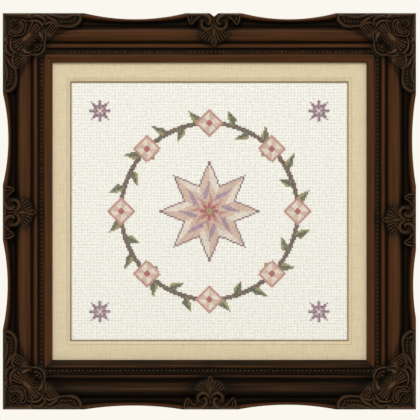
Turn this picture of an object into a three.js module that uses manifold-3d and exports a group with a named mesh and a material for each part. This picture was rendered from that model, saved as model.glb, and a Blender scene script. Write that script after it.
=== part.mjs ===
// A framed cross-stitch picture: a swept wooden frame with cast ornaments, a linen-covered mat, and
// embroidered cloth on a board, closed from behind by a backing board that four turn buttons hold.
// Millimetres. X to the right, Z up, the front faces -Y. The origin is the middle of the flat back.
// Inside the file a point of a rail is (along, inward, height): along the rail, inward from its outer
// edge, and forward from the back plane.

import * as THREE from 'three';
import { mergeVertices } from 'three/addons/utils/BufferGeometryUtils.js';
import Module from 'manifold-3d';

const wasm = await Module();
wasm.setup();

// Driving dimensions

const FRAME_WIDTH = 490;
const FRAME_HEIGHT = 470;
const RAIL_WIDTH = 58;
const REBATE_WIDTH = 6;
const REBATE_DEPTH = 11;
const GAP = 0.3;                      // between pieces that touch
const STACK_CLEARANCE = 1.5;          // round the boards in the rebate
const PAST = 1;                       // how far a cutter runs past the face that it opens
const FAR = 60;                       // further than anything reaches from the back plane
const ROOT = 0.4;                     // how far a joined part runs into its neighbour

const MAT_WINDOW = [329, 307];
const MAT_THICKNESS = 3.0;
const MAT_BEVEL = 2.4;
const UNDERMAT_SHOW = 1.3;
const UNDERMAT_THICKNESS = 1.2;
const CLOTH_THICKNESS = 0.9;
const MOUNT_THICKNESS = 1.6;
const STITCH = 25.4 / 14;             // one cross on 14-count cloth
const STITCH_RISE = 0.7;

const NOTCH = { half: 5.4, depth: 4.3 };

// Each sweep: where it starts and ends along the rail, from the frame's middle, and how deep it is.
const SWEEPS = {
  top: [[-148, -28, 7.0], [38.5, 150, 7.0]],
  bottom: [[-148, -32, 4.5], [34, 150, 5.4]],
  left: [[-140, -34.5, 5.6], [31.5, 140, 6.4]],
  right: [[-127, -47, 3.2], [30, 139, 4.4]],
};
const CENTRE_AT = { top: 5.5, bottom: 1.0, left: -1.4, right: -10.3 };

// The moulding's section, outer edge first: inward, height. Closed behind by the rebate and the flat back.
const RAIL_FRONT = [
  [0, 30.5], [1.2, 33.8], [2.8, 34.6], [4.4, 33.6],                        // rim
  [5.8, 29], [8, 24.4], [11, 22.2], [13.8, 23.2],                          // cove
  [16, 27.4], [19, 30.2], [22.2, 31], [26, 29.8], [29.6, 26.8],            // hump
  [32.6, 23.0], [33.6, 20.2], [35.0, 20.4],                                // groove
  [36.0, 22.8], [38.2, 23.8], [40.4, 22.8],                                // bead
  [41.4, 18.8], [42.8, 17.8],                                              // channel
  [43.6, 19.8], [45.4, 20.6], [47.2, 19.8],                                // astragal that carries the pearls
  [48.4, 18.4], [56.6, 17.4], [RAIL_WIDTH, 15.8],                          // sight member
];
// The bed that a cast ornament is pressed to: it clears the moulding, and bridges its narrow grooves.
const ORNAMENT_BED = [
  [0, 35.2], [4.8, 35.2], [8.4, 25.2], [11.2, 23.2], [14, 24.8], [16, 28.8], [19.4, 31.4], [23, 31.8],
  [26.6, 30.6], [31, 27.2], [36, 25], [41.4, 24], [45, 21.6], [RAIL_WIDTH, 19.2],
];
// The top of its cast base, where the scrolls stand.
const ORNAMENT_FLOOR = [[0, 36.4], [22, 33.8], [37, 27.2], [50, 22.6], [70, 19.6]];
const SWEPT_TO = 15;                  // the rim and cove follow a sweep, the rest runs straight
const SWEEP_STEPS = 5;

const BACKING_BEVEL = { width: 20, depth: 0.8 };      // lets the board slide under the turn buttons
const BUTTON = {
  length: 32, width: 10, thickness: 1.2, screwFromEnd: 6, apart: 190, fromRebate: 8, sides: 22,
};
const SCREW = { shank: 1.9, head: 4.2, headHeight: 1.8, depth: 10 };
const HANGER = {
  length: 62, width: 11, sheet: 0.9, rise: 2.2, tab: 12, slope: 3, bend: 0.5, teeth: 9, tooth: 1.6, margin: 4,
  inward: 26,
};
const NAIL = { shank: 0.8, head: 2.0, headHeight: 0.8, depth: 8 };
const PAD = { radius: 5.5, thickness: 3.2, inward: 12, fromEnd: 22 };
const V_NAIL = { leg: 6.5, sheet: 0.9, depth: 9, at: [20, 40] };

// Materials

const material = (color, roughness, metalness = 0) =>
  new THREE.MeshStandardMaterial({ color, roughness, metalness });
const STAINED_WOOD = material(0x4a2c1b, 0.42);
const CAST_COMPOSITION = material(0x4e3020, 0.45);
const LINEN = material(0xdccfa8, 0.9);
const BROWN_CARD = material(0x6b5236, 0.85);
const AIDA = material(0xf4f2e6, 0.9);
const WHITE_BOARD = material(0xe9e6dc, 0.9);
const HARDBOARD = material(0x8a6543, 0.75);
const BRASSED_STEEL = material(0xb59a5b, 0.35, 0.9);
const ZINC_STEEL = material(0xa9abab, 0.35, 0.9);
const RUBBER = material(0x2b2b2b, 0.85);

// Solids

const picture = new THREE.Group();

function addPiece(name, geometry, finish) {
  const mesh = new THREE.Mesh(geometry, finish);
  mesh.name = name;
  picture.add(mesh);
}

function solidOf(geometry) {
  const bare = geometry.clone();
  for (const name of Object.keys(bare.attributes)) {
    if (name !== 'position') bare.deleteAttribute(name);
  }
  const merged = mergeVertices(bare, 1e-4);
  return new wasm.Manifold(new wasm.Mesh({
    numProp: 3,
    vertProperties: new Float32Array(merged.attributes.position.array),
    triVerts: new Uint32Array(merged.index.array),
  }));
}

function geometryOf(solid) {
  const mesh = solid.getMesh();
  const geometry = new THREE.BufferGeometry();
  geometry.setAttribute('position', new THREE.BufferAttribute(new Float32Array(mesh.vertProperties), 3));
  geometry.setIndex([...mesh.triVerts]);
  return geometry;
}

const joined = (solids) => solids.reduce((sum, solid) => sum.add(solid));

// A closed tube of sections, each with the same number of points and given as a ring of [x, y, z]. The
// triangles are turned round where they enclose a negative volume, so mirrored pieces still face out.
function loft(sections) {
  const count = sections[0].length;
  const points = sections.flat();
  const faces = [];
  for (let i = 0; i + 1 < sections.length; i += 1) {
    for (let j = 0; j < count; j += 1) {
      const k = (j + 1) % count;
      const [a, b, c, d] = [i * count + j, i * count + k, (i + 1) * count + k, (i + 1) * count + j];
      faces.push([a, b, c], [a, c, d]);
    }
  }
  const cap = (section, offset, last) => {
    const flat = flatten(section);
    const turned = THREE.ShapeUtils.isClockWise(flat) === last;
    for (const [a, b, c] of THREE.ShapeUtils.triangulateShape(flat, [])) {
      faces.push(turned ? [a + offset, c + offset, b + offset] : [a + offset, b + offset, c + offset]);
    }
  };
  cap(sections[0], 0, false);
  cap(sections[sections.length - 1], (sections.length - 1) * count, true);
  return closed(points, faces);
}

// A planar ring seen along the axis that its normal is nearest to, for cutting its cap into triangles.
function flatten(section) {
  const normal = new THREE.Vector3();
  section.forEach((point, i) => {
    const next = section[(i + 1) % section.length];
    normal.x += (point[1] - next[1]) * (point[2] + next[2]);
    normal.y += (point[2] - next[2]) * (point[0] + next[0]);
    normal.z += (point[0] - next[0]) * (point[1] + next[1]);
  });
  const size = normal.toArray().map(Math.abs);
  const drop = size.indexOf(Math.max(...size));
  const [u, v] = [[1, 2], [2, 0], [0, 1]][drop];
  return section.map((point) => new THREE.Vector2(point[u], point[v]));
}

function closed(points, faces) {
  const volume = faces.reduce((sum, [a, b, c]) => {
    const [p, q, r] = [points[a], points[b], points[c]];
    return sum + p[0] * (q[1] * r[2] - q[2] * r[1]) + p[1] * (q[2] * r[0] - q[0] * r[2])
      + p[2] * (q[0] * r[1] - q[1] * r[0]);
  }, 0);
  const geometry = new THREE.BufferGeometry();
  geometry.setAttribute('position', new THREE.Float32BufferAttribute(points.flat(), 3));
  geometry.setIndex(faces.flatMap(([a, b, c]) => (volume > 0 ? [a, b, c] : [a, c, b])));
  return geometry;
}

// A plan outline of [across, up] points raised between two heights in front of the back plane.
function raised(outline, low, high) {
  return loft([low, high].map((height) => outline.map(([x, z]) => [x, -height, z])));
}

const rectangle = (width, height) => [
  [-width / 2, -height / 2], [width / 2, -height / 2], [width / 2, height / 2], [-width / 2, height / 2],
];
const slab = (width, height, low, high) => solidOf(raised(rectangle(width, height), low, high));

function disc(radius, sides, x, z, low, high) {
  const outline = Array.from({ length: sides }, (_, i) => {
    const angle = (2 * Math.PI * i) / sides;
    return [x + radius * Math.cos(angle), z + radius * Math.sin(angle)];
  });
  return solidOf(raised(outline, low, high));
}

// Rails

const SIDES = {
  top: { length: FRAME_WIDTH, place: (s, u, h) => [s, -h, FRAME_HEIGHT / 2 - u] },
  bottom: { length: FRAME_WIDTH, place: (s, u, h) => [s, -h, u - FRAME_HEIGHT / 2] },
  left: { length: FRAME_HEIGHT, place: (s, u, h) => [u - FRAME_WIDTH / 2, -h, s] },
  right: { length: FRAME_HEIGHT, place: (s, u, h) => [FRAME_WIDTH / 2 - u, -h, s] },
};

const RAIL_SECTION = [
  [0, 0], ...RAIL_FRONT, [RAIL_WIDTH, REBATE_DEPTH],
  [RAIL_WIDTH - REBATE_WIDTH, REBATE_DEPTH], [RAIL_WIDTH - REBATE_WIDTH, 0],
];

// How far a sweep takes the outer edge inward: a shallow arc between its two ends.
function sweptIn(side, along) {
  for (const [start, end, depth] of SWEEPS[side]) {
    const t = (along - start) / (end - start);
    if (t > 0 && t < 1) return depth * 4 * t * (1 - t);
  }
  return 0;
}

function railSolid(side) {
  const { length, place } = SIDES[side];
  const stations = SWEEPS[side].flatMap(([start, end]) =>
    Array.from({ length: SWEEP_STEPS + 1 }, (_, i) => start + ((end - start) * i) / SWEEP_STEPS));
  const section = (along) => RAIL_SECTION.map(([u, h]) => {
    const recess = sweptIn(side, along);
    const inward = u < SWEPT_TO ? recess + (u * (SWEPT_TO - recess)) / SWEPT_TO : u;
    const sink = h > 0 && u < SWEPT_TO / 2 ? 0.25 * recess : 0;
    return place(along, inward, h - sink);
  });
  const mitre = (end) => RAIL_SECTION.map(([u, h]) => place(end * (length / 2 - u), u, h));
  return solidOf(loft([mitre(-1), ...stations.map(section), mitre(1)]));
}

const notchWedge = (side, at) => {
  const { place } = SIDES[side];
  const outline = [[-NOTCH.half, -PAST], [NOTCH.half, -PAST], [0, NOTCH.depth]];
  return solidOf(loft([-PAST, FAR].map((h) => outline.map(([s, u]) => place(at + s, u, h)))));
};

// What a side rail gives up at a mitre, so that it keeps clear of the top and bottom rails.
function mitreCut(side, end) {
  const line = (u) => end * (FRAME_HEIGHT / 2 - u - GAP);
  const beyond = end * FRAME_HEIGHT;
  const [outer, inner] = [-PAST, RAIL_WIDTH + PAST];
  const outline = [[outer, line(outer)], [inner, line(inner)], [inner, beyond], [outer, beyond]];
  return solidOf(loft([-PAST, FAR].map((h) => outline.map(([u, s]) => SIDES[side].place(s, u, h)))));
}

// The V-nail's section, seen from behind: two legs from a point on the mitre, one in each rail.
function vNail(signX, signZ, inward, extra) {
  const half = V_NAIL.sheet / 2 + extra;
  const leg = V_NAIL.leg + extra;
  const outline = [
    [-half, -half], [leg, -half], [leg, half], [half, half], [half, leg], [-half, leg],
  ];
  const ring = outline.map(([a, b]) => [
    signX * (FRAME_WIDTH / 2 - inward - a), signZ * (FRAME_HEIGHT / 2 - inward - b),
  ]);
  return raised(ring, extra ? -PAST : 0, V_NAIL.depth + extra);
}

const CORNERS = { top_left: [-1, 1], top_right: [1, 1], bottom_left: [-1, -1], bottom_right: [1, -1] };
const BUTTON_INWARD = RAIL_WIDTH - REBATE_WIDTH - BUTTON.fromRebate;
const BUTTONS = { left_upper: [-1, 1], left_lower: [-1, -1], right_upper: [1, 1], right_lower: [1, -1] };
const buttonAt = ([signX, signZ]) => [signX * (FRAME_WIDTH / 2 - BUTTON_INWARD), (signZ * BUTTON.apart) / 2];
const hangerZ = FRAME_HEIGHT / 2 - HANGER.inward;
const hangerNailX = HANGER.length / 2 - HANGER.tab / 2;

const pockets = [];
for (const [signX, signZ] of Object.values(CORNERS)) {
  for (const inward of V_NAIL.at) pockets.push(solidOf(vNail(signX, signZ, inward, GAP)));
}
for (const signs of Object.values(BUTTONS)) {
  pockets.push(disc(SCREW.shank + GAP, 12, ...buttonAt(signs), -PAST, SCREW.depth + GAP));
}
for (const sign of [-1, 1]) {
  pockets.push(disc(NAIL.shank + GAP, 8, sign * hangerNailX, hangerZ, -PAST, NAIL.depth + GAP));
}
const allPockets = joined(pockets);

for (const side of Object.keys(SIDES)) {
  let rail = railSolid(side).subtract(allPockets);
  if (side === 'top') rail = rail.subtract(notchWedge('top', CENTRE_AT.top));
  if (SIDES[side].length === FRAME_HEIGHT) {
    rail = rail.subtract(mitreCut(side, 1)).subtract(mitreCut(side, -1));
  }
  addPiece(`rail_${side}`, geometryOf(rail), STAINED_WOOD);
}

for (const [corner, [signX, signZ]] of Object.entries(CORNERS)) {
  V_NAIL.at.forEach((inward, i) => {
    addPiece(`v_nail_${corner}_${i + 1}`, vNail(signX, signZ, inward, 0), ZINC_STEEL);
  });
}

// Cast ornaments

// The level that an ornament's scrolls stand on: its cast base fills the hollows of the moulding.
function floorLevel(inward) {
  const i = Math.max(1, ORNAMENT_FLOOR.findIndex(([u]) => u > inward));
  const [[u0, h0], [u1, h1]] = [ORNAMENT_FLOOR[i - 1], ORNAMENT_FLOOR[i]];
  return h0 + ((h1 - h0) * (inward - u0)) / (u1 - u0);
}

// A raised strand: a bar with sloping sides carried along a curve through plan points. Each point is
// [p, q, width, rise], and inward says how far in from the frame's edge a plan point is.
const STRAND_ROOT = 9;
const STRAND_SECTION = [[-0.56, -1], [-0.24, 1], [0.24, 1], [0.56, -1]];
function strand(points, steps, inward) {
  const smooth = (pairs) =>
    new THREE.CatmullRomCurve3(pairs.map(([a, b]) => new THREE.Vector3(a, b, 0)), false, 'centripetal');
  const path = smooth(points);
  const size = smooth(points.map(([, , width, rise]) => [width, rise]));
  const rings = Array.from({ length: steps + 1 }, (_, i) => {
    const t = i / steps;
    const at = path.getPoint(t);
    const ahead = path.getTangent(t);
    const { x: width, y: rise } = size.getPoint(t);
    const floor = floorLevel(Math.max(0, inward(at.x, at.y)));
    return STRAND_SECTION.map(([side, up]) => [
      at.x - ahead.y * side * width, at.y + ahead.x * side * width, floor + (up > 0 ? rise : -STRAND_ROOT),
    ]);
  });
  return solidOf(loft(rings));
}

const arc = (centre, radius, from, to, count, width, rise) => Array.from({ length: count }, (_, i) => {
  const angle = THREE.MathUtils.degToRad(from + ((to - from) * i) / (count - 1));
  const taper = 0.55 + 0.45 * Math.sin((Math.PI * i) / (count - 1));
  const [p, q] = [centre[0] + radius * Math.cos(angle), centre[1] + radius * Math.sin(angle)];
  return [p, q, width * taper, rise * taper];
});
const mirrored = (points) => points.map(([p, q, ...rest]) => [q, p, ...rest]);
const flipped = (points) => points.map(([p, q, ...rest]) => [-p, q, ...rest]);

// A bar along a rail under the given top line, from the mitre or from -reach to reach.
function barUnder(topLine, reach, mitred) {
  const last = topLine[topLine.length - 1][0];
  const section = [[-PAST, -PAST], [-PAST, topLine[0][1]], ...topLine.slice(1), [last, -PAST]];
  const start = mitred ? section.map(([u, h]) => [u, u, h]) : section.map(([u, h]) => [-reach, u, h]);
  return solidOf(loft([start, section.map(([u, h]) => [reach, u, h])]));
}

// The geometry of a solid whose points (p, q, height) are taken to other places.
function placed(solid, place) {
  const mesh = solid.getMesh();
  const points = [];
  for (let i = 0; i < mesh.vertProperties.length; i += 3) {
    points.push(place(mesh.vertProperties[i], mesh.vertProperties[i + 1], mesh.vertProperties[i + 2]));
  }
  const faces = [];
  for (let i = 0; i < mesh.triVerts.length; i += 3) faces.push([...mesh.triVerts.slice(i, i + 3)]);
  return closed(points, faces);
}
const swapped = (solid) => solidOf(placed(solid, (p, q, h) => [q, p, h]));

// The finished ornament: its underside follows the moulding, and its scrolls stand on its base.
function ornament(outline, strands, beds, bases) {
  const plan = solidOf(loft([-PAST / 2, FAR].map((h) => outline.map(([p, q]) => [p, q, h]))));
  return joined([...bases, ...strands]).intersect(plan).subtract(joined(beds));
}

const REACH = 130;
const CENTRE_REACH = 60;
const legs = (topLine) => {
  const bar = barUnder(topLine, REACH, true);
  return [bar, swapped(bar)];
};

const HALF_CORNER = [
  [0.4, 0.4], [93, 0.4], [95, 5], [94, 11], [88, 16.5], [79, 18], [69, 17], [64, 20], [57, 30], [51.5, 33.5],
  [52.5, 41], [49.5, 48],
];
const CORNER_OUTLINE = [...HALF_CORNER, ...mirrored(HALF_CORNER.slice(1)).reverse()];
const EYE = [12.6, 12.6];
const TONGUE = [39.6, 39.6];
const RING = [37.4, 37.4];

// The ribs of a fluted shell, spread from one line to another. near and far are pairs of ends, thin and
// thick the width and rise of a rib where it starts and where it ends.
const fan = (count, near, far, thin, thick) => Array.from({ length: count }, (_, i) => {
  const between = ([a, b]) => a.map((x, k) => x + ((b[k] - x) * i) / (count - 1));
  return [[...between(near), ...thin], [...between(far), ...thick]];
});

function cornerStrands() {
  const inward = (p, q) => Math.min(p, q);
  const lay = (points, steps) => strand(points, steps, inward);
  const pair = (points, steps) => [lay(points, steps), lay(mirrored(points), steps)];
  const across = (half, steps) => lay([...half, ...mirrored(half).reverse().slice(1)], steps);
  const ribs = (...shell) => fan(...shell).flatMap((rib) => pair(rib, 1));
  return [
    lay(arc(EYE, 3.6, 60, 330, 5, 2.6, 2.6), 3),
    across([[21.4, 8.6, 2.6, 3.4], [25, 8.4, 3, 4.4], [27.4, 13.4, 3.2, 4.6], [24.6, 24.6, 3, 4]], 6),
    across([[23.6, 12.4, 2.8, 3.8], [22.1, 22.1, 2.8, 3.8]], 2),
    across([[20.4, 12.6, 2.6, 3.6], [19.4, 19.4, 2.8, 3.6]], 2),
    across([[33.4, 23.8, 6.4, 3], [28.8, 28.8, 9, 4]], 2),
    ...ribs(3, [[31.4, 21.2], [36.4, 25]], [[36, 11.8], [43.8, 17.4]], [2.8, 3.6], [3.8, 4.8]),
    ...ribs(3, [[53.4, 20.6], [58.4, 25]], [[57.8, 14.6], [64.6, 18]], [2.8, 2.4], [3.2, 3.8]),
    lay(arc(TONGUE, 4.8, -67, 157, 5, 2.8, 4), 4),
    lay(arc(RING, 12.2, -47, 137, 7, 3, 3.8), 4),
    ...pair([[2.6, 1.5, 4.6, 2.6], [18, 2.6, 4.6, 2.4], [34, 2.6, 4.2, 2.2]], 2),
    ...pair([[29.4, 10.4, 2.6, 2.4], [36, 9.2, 3.6, 3.6], [43.4, 10.8, 3.8, 3.8], [47.6, 16.4, 3, 3]], 3),
    ...pair([[43, 22.4, 3.2, 2.6], [45.4, 26.6, 7, 4.4], [45.4, 33.8, 2.6, 2.4]], 2),
    ...pair([[50.2, 20.4, 2.6, 1.8], [50.2, 32, 2.8, 2.2]], 1),
    ...pair([[50.6, 14, 2.6, 3], [56, 11.4, 3.4, 4], [66, 16.6, 2.6, 3.2]], 2),
    ...pair([[33.4, 6.6, 3, 2.8], [40, 4, 4.4, 4], [48, 6.4, 4.8, 4.4], [50, 11.4, 3.8, 4],
      [46, 12.4, 2.6, 3]], 4),
    ...pair([[51.6, 4.4, 3, 3], [59, 7.8, 5.4, 4.4], [67.4, 15.2, 2.6, 3]], 2),
    ...pair([[65.6, 14.6, 2.6, 3], [73.4, 16, 3.6, 4], [82, 15.6, 3.8, 4.2], [89.4, 11.6, 3.8, 4.2],
      [92.2, 6, 3.6, 4.2], [89.6, 2.8, 3, 3.2]], 5),
    ...pair([[56, 2.4, 3, 2.8], [72, 5, 3.4, 3.4], [83.4, 3.2, 2.6, 2.6]], 2),
    ...pair([[69, 10.5, 2.8, 2.4], [85, 10.5, 2.8, 2.4]], 1),
  ];
}

const cornerSolid = ornament(CORNER_OUTLINE, cornerStrands(), legs(ORNAMENT_BED), legs(ORNAMENT_FLOOR));

for (const [corner, [signX, signZ]] of Object.entries(CORNERS)) {
  const geometry = placed(cornerSolid, (p, q, h) => [
    signX * (FRAME_WIDTH / 2 - p), -h, signZ * (FRAME_HEIGHT / 2 - q),
  ]);
  addPiece(`corner_ornament_${corner}`, geometry, CAST_COMPOSITION);
}

const HALF_CENTRE = [
  [0, NOTCH.depth], [NOTCH.half - 2 * GAP, 0.4], [31, 0.4], [32.4, 7], [28, 14.6], [24, 13.4], [20.4, 8.6],
  [18, 9], [17.6, 16.4], [13.6, 21], [17.4, 24], [15.6, 30.4], [9.8, 34.6], [3.4, 36.6], [1.8, 40],
];
const CENTRE_OUTLINE = [...HALF_CENTRE, ...flipped(HALF_CENTRE.slice(1)).reverse()];

function centreStrands() {
  const inward = (p, q) => q;
  const lay = (points, steps) => strand(points, steps, inward);
  const pair = (points, steps) => [lay(points, steps), lay(flipped(points), steps)];
  return [
    ...pair([[28.8, 2, 3.2, 2.6], [16, 2, 3.6, 3.2], [9, 3.2, 4.6, 4.4], [4.6, 7, 4.8, 5],
      [5.2, 12.4, 3.8, 4.6], [9, 13, 2.6, 3.4]], 5),
    ...pair([[30.6, 2.6, 3, 2.8], [29.8, 8.4, 3.4, 3.4], [27.2, 14, 2.4, 2.8]], 2),
    ...pair([[17.4, 4.4, 2.8, 2.8], [21.4, 7.6, 3.4, 3.6], [27.2, 14, 2.4, 2.8]], 2),
    ...pair([[1.6, 13, 3, 3.8], [3.4, 17.8, 4.4, 4.8], [8.6, 19.6, 4.8, 5], [14, 15.6, 4.2, 4.8],
      [12.6, 10.2, 2.6, 3.4]], 4),
    lay([[0, 18, 3.4, 3.6], [0, 24.6, 5.4, 4.8], [0, 28.4, 3.4, 3.8], [0, 38.4, 4.6, 3.6]], 3),
    ...pair([[2, 21.6, 2.4, 3.2], [6.2, 32, 3.2, 4]], 1),
    ...pair([[3.6, 21.8, 2.4, 3.2], [10.2, 30.6, 3.2, 4]], 1),
    ...pair([[5.4, 21.8, 2.4, 3.2], [13.4, 28.4, 3.2, 3.8]], 1),
    ...pair([[7.6, 21.6, 2.2, 2.8], [15.2, 25, 2.8, 3.4]], 1),
  ];
}

const centreSolid = ornament(
  CENTRE_OUTLINE, centreStrands(),
  [barUnder(ORNAMENT_BED, CENTRE_REACH, false)], [barUnder(ORNAMENT_FLOOR, CENTRE_REACH, false)],
);
for (const side of Object.keys(SIDES)) {
  const { place } = SIDES[side];
  const geometry = placed(centreSolid, (p, q, h) => place(CENTRE_AT[side] + p, q, h));
  addPiece(`centre_ornament_${side}`, geometry, CAST_COMPOSITION);
}

// What the rebate holds, front to back

const stackWidth = FRAME_WIDTH - 2 * (RAIL_WIDTH - REBATE_WIDTH) - 2 * STACK_CLEARANCE;
const stackHeight = FRAME_HEIGHT - 2 * (RAIL_WIDTH - REBATE_WIDTH) - 2 * STACK_CLEARANCE;
const matTop = REBATE_DEPTH - GAP;
const matBack = matTop - MAT_THICKNESS;
const undermatTop = matBack - GAP;
const undermatBack = undermatTop - UNDERMAT_THICKNESS;
const clothTop = undermatBack - GAP;
const clothBack = clothTop - CLOTH_THICKNESS;
const mountTop = clothBack - GAP;
const mountBack = mountTop - MOUNT_THICKNESS;
const backingTop = mountBack - GAP;

const window = (grow) => rectangle(MAT_WINDOW[0] + 2 * grow, MAT_WINDOW[1] + 2 * grow);
const bevelled = solidOf(loft([
  window(UNDERMAT_SHOW).map(([x, z]) => [x, PAST - matBack, z]),
  window(UNDERMAT_SHOW).map(([x, z]) => [x, -matBack, z]),
  window(UNDERMAT_SHOW + MAT_BEVEL).map(([x, z]) => [x, -matTop, z]),
  window(UNDERMAT_SHOW + MAT_BEVEL).map(([x, z]) => [x, -matTop - PAST, z]),
]));
addPiece('linen_mat', geometryOf(slab(stackWidth, stackHeight, matBack, matTop).subtract(bevelled)), LINEN);

const cardWindow = solidOf(raised(window(0), undermatBack - PAST, undermatTop + PAST));
const card = slab(stackWidth, stackHeight, undermatBack, undermatTop).subtract(cardWindow);
addPiece('brown_undermat', geometryOf(card), BROWN_CARD);

// The sampler design, in stitches from the cloth's middle: a star in a wreath, with small stars round it.
const STAR = { points: 8, outer: 34, inner: 18.4 };
const WREATH = { radius: 58, half: 1.5, sides: 40, leaves: 32, leaf: 12, wide: 5.6, widest: 0.35, lean: 40 };
const ROSETTES = { count: 8, radius: 58, outer: 9, inner: 6.5, points: 4 };
const CORNER_STARS = { across: 72, up: 66, outer: 8.5, inner: 4, points: 8 };

const polar = (radius, degrees) => {
  const angle = THREE.MathUtils.degToRad(degrees);
  return [radius * Math.cos(angle), radius * Math.sin(angle)];
};
const starOutline = (points, outer, inner, x, z) => Array.from({ length: 2 * points }, (_, i) => {
  const [dx, dz] = polar(i % 2 ? inner : outer, (180 * i) / points);
  return [x + dx, z + dz];
});
function leafOutline(index) {
  const { radius, half, leaves, leaf, wide, widest, lean } = WREATH;
  const around = (360 * (index + 0.5)) / leaves;
  const outside = index % 2 === 0;
  const [x, z] = polar(radius, around);
  const heading = around + (outside ? lean : 180 - lean);
  const shape = [[-half / 2, 0], [widest * leaf, wide / 2], [leaf, 0], [widest * leaf, -wide / 2]];
  return shape.map(([along, aside]) => {
    const [ax, az] = polar(along, heading);
    const [bx, bz] = polar(aside, heading + 90);
    return [x + ax + bx, z + az + bz];
  });
}
const stitched = (outline) =>
  solidOf(raised(outline.map(([x, z]) => [x * STITCH, z * STITCH]), clothBack + GAP, clothTop + STITCH_RISE));
const ringOutline = (radius) =>
  Array.from({ length: WREATH.sides }, (_, i) => polar(radius, (360 * i) / WREATH.sides));

const motifs = [
  stitched(starOutline(STAR.points, STAR.outer, STAR.inner, 0, 0)),
  stitched(ringOutline(WREATH.radius + WREATH.half))
    .subtract(stitched(ringOutline(WREATH.radius - WREATH.half))),
];
for (let i = 0; i < WREATH.leaves; i += 1) motifs.push(stitched(leafOutline(i)));
for (let i = 0; i < ROSETTES.count; i += 1) {
  const { points, outer, inner } = ROSETTES;
  const [x, z] = polar(ROSETTES.radius, (360 * i) / ROSETTES.count);
  motifs.push(stitched(starOutline(points, outer, inner, x, z)));
}
for (const signX of [-1, 1]) {
  for (const signZ of [-1, 1]) {
    const { across, up, outer, inner, points } = CORNER_STARS;
    motifs.push(stitched(starOutline(points, outer, inner, signX * across, signZ * up)));
  }
}
const cloth = slab(stackWidth, stackHeight, clothBack, clothTop);
addPiece('embroidered_cloth', geometryOf(joined([cloth, ...motifs])), AIDA);

addPiece('mounting_board', raised(rectangle(stackWidth, stackHeight), mountBack, mountTop), WHITE_BOARD);

// The backing board's rim is bevelled on its back, outside the flat face that lies level with the rails.
const backing = [[0, BACKING_BEVEL.width], [BACKING_BEVEL.depth, 0], [backingTop, 0]]
  .map(([height, inset]) => rectangle(stackWidth - 2 * inset, stackHeight - 2 * inset)
    .map(([x, z]) => [x, -height, z]));
addPiece('backing_board', loft(backing), HARDBOARD);

// Hardware on the back; heights below zero stand behind the back plane

const buttonBack = -GAP - BUTTON.thickness;
for (const [name, signs] of Object.entries(BUTTONS)) {
  const [x, z] = buttonAt(signs);
  const inwardSign = -signs[0];
  const half = BUTTON.width / 2;
  const shape = new THREE.Shape();
  shape.absarc(half - BUTTON.screwFromEnd, 0, half, Math.PI / 2, (3 * Math.PI) / 2);
  shape.absarc(BUTTON.length - BUTTON.screwFromEnd - half, 0, half, -Math.PI / 2, Math.PI / 2);
  const outline = shape.getSpacedPoints(BUTTON.sides).slice(0, -1)
    .map((point) => [x + inwardSign * point.x, z + point.y]);
  const plate = solidOf(raised(outline, buttonBack, -GAP));
  const hole = disc(SCREW.shank + GAP, 16, x, z, buttonBack - PAST, PAST);
  addPiece(`turn_button_${name}`, geometryOf(plate.subtract(hole)), BRASSED_STEEL);
  const head = disc(SCREW.head, 16, x, z, buttonBack - GAP - SCREW.headHeight, buttonBack - GAP);
  const shank = disc(SCREW.shank, 16, x, z, buttonBack - GAP - ROOT, SCREW.depth);
  addPiece(`button_screw_${name}`, geometryOf(head.add(shank)), BRASSED_STEEL);
}

// The sawtooth hanger: a strip whose middle is bridged clear of the wood, with teeth along its lower edge.
const bridge = HANGER.length / 2 - HANGER.tab;
const halfHat = [
  [HANGER.length / 2, 0], [HANGER.length / 2, HANGER.sheet], [bridge + HANGER.bend, HANGER.sheet],
  [bridge - HANGER.slope + HANGER.bend, HANGER.rise + HANGER.sheet],
];
const halfUnder = [[-bridge, 0], [-bridge + HANGER.slope, HANGER.rise]];
const hat = [...halfUnder, ...flipped(halfUnder).reverse(), ...halfHat, ...flipped(halfHat).reverse()];
const strip = solidOf(loft([-0.5, 0.5].map((end) =>
  hat.map(([x, behind]) => [x, behind + GAP, hangerZ + end * HANGER.width]))));
const toothPitch = (2 * (bridge - HANGER.margin)) / HANGER.teeth;
const lowerEdge = hangerZ - HANGER.width / 2;
const cuts = Array.from({ length: HANGER.teeth }, (_, i) => {
  const x = HANGER.margin - bridge + toothPitch * i;
  const tooth = [[0, -PAST], [toothPitch, -PAST], [toothPitch / 2, HANGER.tooth]];
  return solidOf(raised(tooth.map(([across, up]) => [x + across, lowerEdge + up]), -FAR, PAST));
});
let hanger = strip.subtract(joined(cuts));
for (const [name, sign] of [['left', -1], ['right', 1]]) {
  const x = sign * hangerNailX;
  hanger = hanger.subtract(disc(NAIL.shank + GAP, 8, x, hangerZ, -FAR, PAST));
  const underHead = -GAP - HANGER.sheet - GAP;
  const head = disc(NAIL.head, 12, x, hangerZ, underHead - NAIL.headHeight, underHead);
  const shank = disc(NAIL.shank, 8, x, hangerZ, underHead - ROOT, NAIL.depth);
  addPiece(`hanger_nail_${name}`, geometryOf(head.add(shank)), ZINC_STEEL);
}
addPiece('sawtooth_hanger', geometryOf(hanger), ZINC_STEEL);

for (const [name, sign] of [['left', -1], ['right', 1]]) {
  const x = sign * (FRAME_WIDTH / 2 - PAD.fromEnd);
  const z = PAD.inward - FRAME_HEIGHT / 2;
  const pad = disc(PAD.radius, 20, x, z, -GAP - PAD.thickness, -GAP);
  addPiece(`bumper_pad_${name}`, geometryOf(pad), RUBBER);
}

export default picture;
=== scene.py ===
import math

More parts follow.
